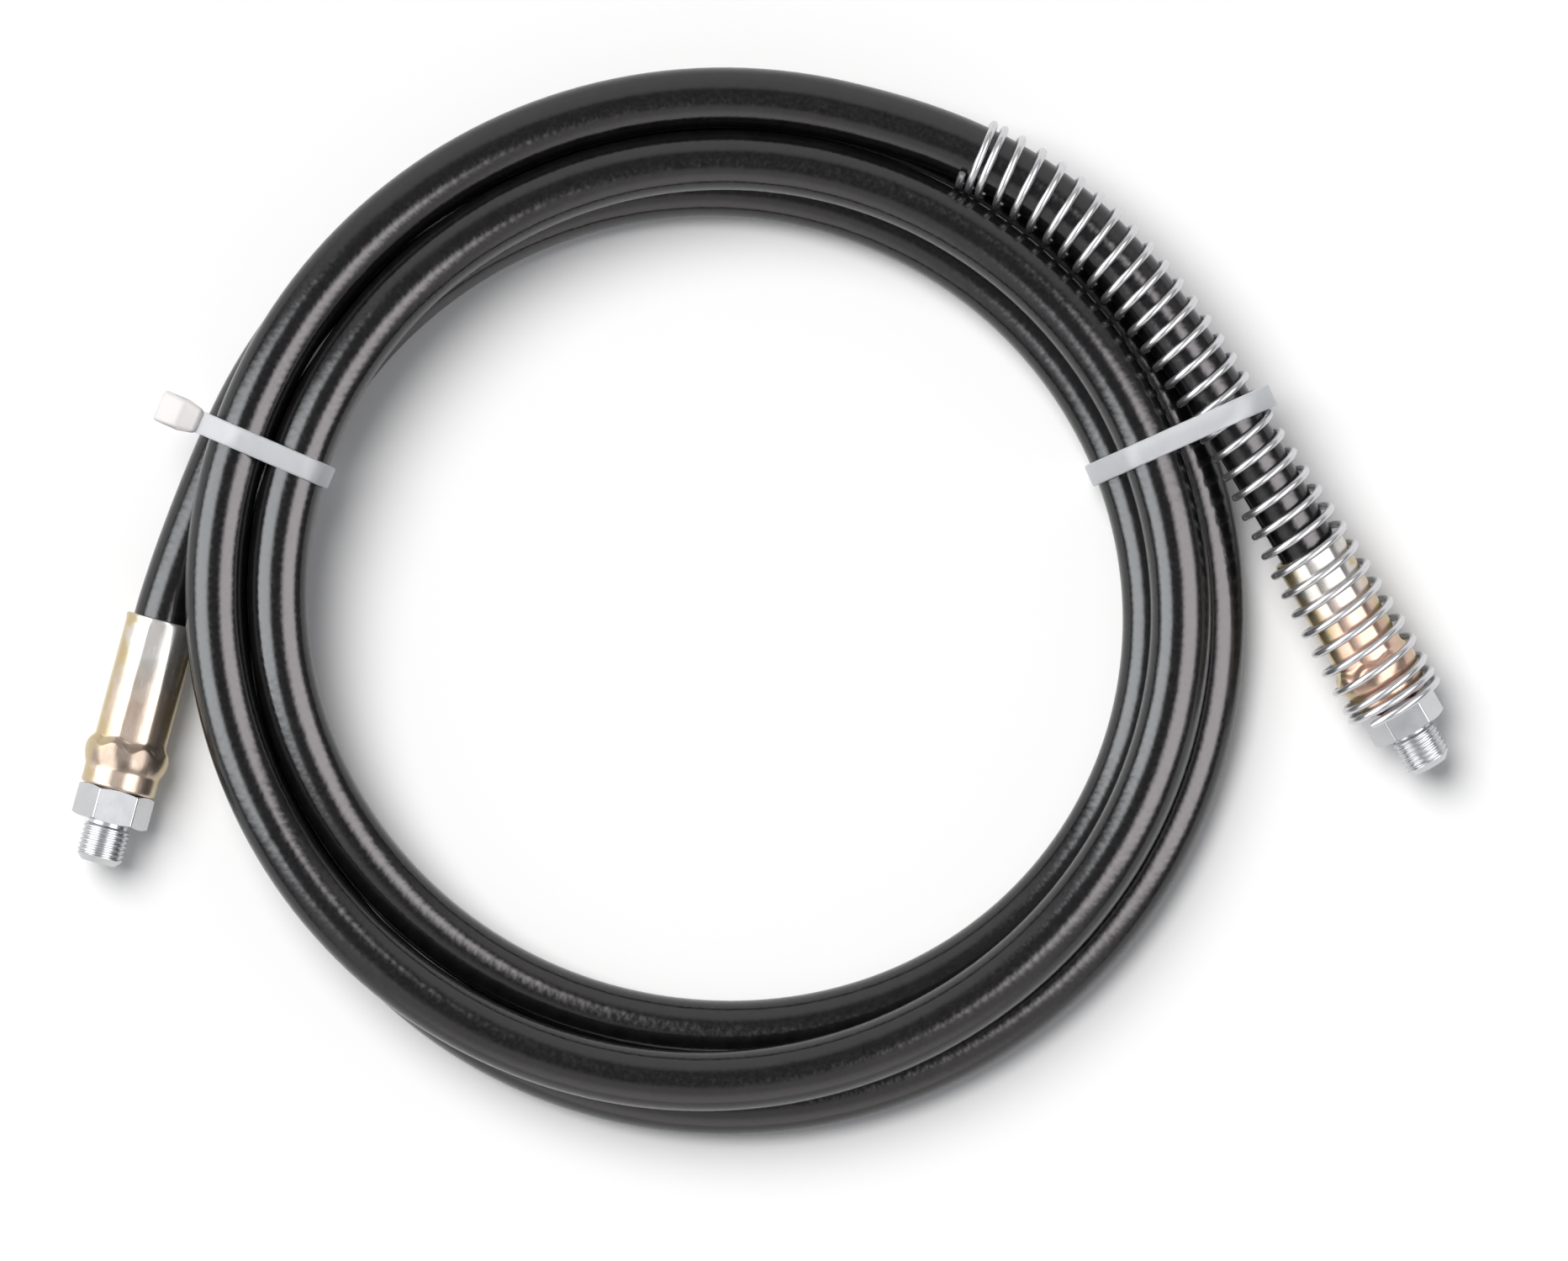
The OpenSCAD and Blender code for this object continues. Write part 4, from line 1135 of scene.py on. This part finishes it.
class HOSE_OT_stage(bpy.types.Operator):
    """Lay the pale floor and hang the studio light"""

    bl_idname = "hose_assembly.stage"
    bl_label = "Floor and light"

    def execute(self, context):
        studio = context.scene.hose_assembly_studio
        self.floor(context)
        self.key(context, studio)
        self.boxes(context, studio)
        self.surroundings(context, studio)
        context.scene.view_settings.view_transform = "Standard"
        return {"FINISHED"}

    def floor(self, context):
        bm = bmesh.new()
        bmesh.ops.create_grid(bm, x_segments=1, y_segments=1, size=FLOOR_HALF)
        mesh = bpy.data.meshes.new("pale_floor")
        bm.to_mesh(mesh)
        bm.free()
        f = Finish("pale_floor", Base_Color=(0.95, 0.95, 0.95, 1.0), Roughness=1.0,
                   Specular_IOR_Level=0.0)
        seen = seen_rays(f, "Is Camera Ray", "Is Glossy Ray", "Is Transmission Ray")
        f.shader.inputs["Emission Color"].default_value = (1.0, 1.0, 1.0, 1.0)
        f.to_shader(f.math("MULTIPLY", seen, 0.06), "Emission Strength")
        mesh.materials.append(f.material)
        floor = bpy.data.objects.new("pale_floor", mesh)
        context.scene.collection.objects.link(floor)

    def key(self, context, studio):
        lamp = bpy.data.lights.new("key_light", "SUN")
        lamp.angle = math.radians(KEY_SPREAD)
        off_top = math.radians(studio.key_tilt)
        lamp.energy = studio.sun * math.pi / math.cos(off_top)
        lamp.color = (1.0, 0.99, 0.98)
        placed = bpy.data.objects.new("key_light", lamp)
        towards = polar(math.sin(off_top), KEY_AZIMUTH) + math.cos(off_top) * UP
        placed.rotation_euler = towards.to_track_quat("Z", "Y").to_euler()
        placed.visible_glossy = False
        context.scene.collection.objects.link(placed)

    def boxes(self, context, studio):
        """Soft boxes for the hose's reflections, and others for those of the bright pieces"""
        pieces = [o for o in context.scene.objects if o.type == "MESH"]
        hose = [o for o in pieces if o.name.startswith("hose_cover")]
        metal = [o for o in pieces if o not in hose and not o.name.startswith("pale_floor")]
        insert_b = [o for o in metal if o.name.startswith("threaded_insert_b")]
        others = [o for o in metal if o not in insert_b]
        dark, bright = studio.hose_glow, studio.metal_glow
        # Name, azimuth, angle off the vertical, distance, half the angles that it spans, its soft
        # rim, brightness, colour and the pieces that reflect it
        for box in (
                ("left_box_hose", 180.0, 55.5, BOX_NEAR, (31.0, 31.0), 0.28, dark, COOL, hose),
                ("right_box_hose", -6.0, 39.5, BOX_NEAR, (29.0, 33.0), 0.28, dark, WARM, hose),
                ("front_box_hose", -90.0, 60.0, BOX_NEAR, (58.0, 42.0), 0.28, 0.9, WARM, hose),
                ("back_box_hose", 90.0, 66.0, BOX_NEAR, (58.0, 36.0), 0.28, 0.75, WARM, hose),
                ("left_box_metal", 178.0, 59.0, BOX_FAR, (48.0, 32.0), 0.2, bright, PLAIN, metal),
                ("right_box_metal", -8.0, 33.8, BOX_FAR, (48.0, 24.0), 0.2, bright, PLAIN, others),
                ("right_box_insert_b", -8.0, 43.0, BOX_FAR, (48.0, 24.0), 0.2, bright, PLAIN,
                 insert_b),
                ("top_box_metal", 0.0, 0.0, BOX_FAR, (30.0, 30.0), 0.28, studio.top_glow, PLAIN,
                 metal)):
            self.soft_box(context, *box)

    def soft_box(self, context, name, azimuth, off_top, reach, spans, rim, glow, tint, receivers):
        """A soft-edged box that shows in some pieces' reflections only"""
        lamp = bpy.data.lights.new(name, "AREA")
        lamp.shape = "RECTANGLE"
        lamp.size, lamp.size_y = (2 * reach * math.tan(math.radians(span)) for span in spans)
        lamp.energy = glow * math.pi * lamp.size * lamp.size_y
        lamp.color = tint
        lamp.use_nodes = True
        n = Nodes(lamp.node_tree)
        across = split(n, n.node("ShaderNodeNewGeometry").outputs["Parametric"])
        edges = [n.math("SUBTRACT", 0.5, n.math("ABSOLUTE", n.math("SUBTRACT", at, 0.5)))
                 for at in across]
        soft = n.math("MULTIPLY", *(n.ranged(edge, 0.0, 1.0, 0.0, rim, "SMOOTHSTEP")
                                    for edge in edges))
        n.link(soft, n.tree.nodes["Emission"].inputs["Strength"])
        placed = bpy.data.objects.new(name, lamp)
        placed.matrix_world = (Matrix.Rotation(math.radians(azimuth), 4, "Z")
                               @ Matrix.Rotation(math.radians(off_top), 4, "Y")
                               @ Matrix.Translation((0.0, 0.0, reach))
                               @ Matrix.Rotation(math.pi / 2, 4, "Z"))
        placed.visible_diffuse = False
        placed.visible_camera = False
        shown_in = bpy.data.collections.new(name + "_receivers")
        for piece in receivers:
            shown_in.objects.link(piece)
        placed.light_linking.receiver_collection = shown_in
        context.scene.collection.objects.link(placed)

    def surroundings(self, context, studio):
        """White in view, a grey room with pale ends in reflections, and a dim fill elsewhere"""
        world = bpy.data.worlds.new("plain_studio")
        world.use_nodes = True
        world.node_tree.nodes.clear()
        n = Nodes(world.node_tree)
        _, north = split(n, n.node("ShaderNodeTexCoord").outputs["Generated"])
        front = n.ranged(north, 0.0, 1.0, -0.7, -0.95, "SMOOTHSTEP")
        back = n.ranged(north, 0.0, 1.0, 0.45, 0.75, "SMOOTHSTEP")
        room = n.mixed(front, (0.22, 0.22, 0.23), (0.95, 0.92, 0.88))
        room = n.mixed(back, room, (0.5, 0.49, 0.48))
        seen = n.mixed(seen_rays(n, "Is Camera Ray"), room, (1.0, 1.0, 1.0))
        fill, shown = n.node("ShaderNodeBackground"), n.node("ShaderNodeBackground")
        fill.inputs["Strength"].default_value = studio.ambient
        fill.inputs["Color"].default_value = (0.97, 1.0, 1.05, 1.0)
        n.link(seen, shown.inputs["Color"])
        either = n.node("ShaderNodeMixShader")
        rays = seen_rays(n, "Is Camera Ray", "Is Glossy Ray", "Is Transmission Ray")
        for socket, out in enumerate((rays, fill.outputs[0], shown.outputs[0])):
            n.link(out, either.inputs[socket])
        n.link(either.outputs[0], n.node("ShaderNodeOutputWorld").inputs["Surface"])
        context.scene.world = world


class HOSE_PT_panel(bpy.types.Panel):
    """The hose assembly's pieces, sizes and colours"""

    bl_idname = "HOSE_PT_panel"
    bl_label = "Hose Assembly"
    bl_space_type = "VIEW_3D"
    bl_region_type = "UI"
    bl_category = "Hose Assembly"

    def draw(self, context):
        layout = self.layout
        for step in STEPS:
            layout.operator(step.bl_idname)
        for group in (context.scene.hose_assembly_sizes, context.scene.hose_assembly_colours,
                      context.scene.hose_assembly_studio):
            box = layout.box()
            for key in group.__annotations__:
                box.prop(group, key)


STEPS = (HOSE_OT_camera, HOSE_OT_layers, HOSE_OT_ferrules, HOSE_OT_inserts, HOSE_OT_spring,
         HOSE_OT_ties, HOSE_OT_stage)
CLASSES = (HoseAssemblySizes, HoseAssemblyColours, HoseAssemblyStudio) + STEPS + (HOSE_PT_panel,)


def register():
    for cls in CLASSES:
        bpy.utils.register_class(cls)
    bpy.types.Scene.hose_assembly_sizes = PointerProperty(type=HoseAssemblySizes)
    bpy.types.Scene.hose_assembly_colours = PointerProperty(type=HoseAssemblyColours)
    bpy.types.Scene.hose_assembly_studio = PointerProperty(type=HoseAssemblyStudio)


def unregister():
    del bpy.types.Scene.hose_assembly_studio
    del bpy.types.Scene.hose_assembly_colours
    del bpy.types.Scene.hose_assembly_sizes
    for cls in reversed(CLASSES):
        bpy.utils.unregister_class(cls)


def main():
    register()
    for step in STEPS:
        group, name = step.bl_idname.split(".")
        getattr(getattr(bpy.ops, group), name)()


if __name__ == "__main__":
    main()
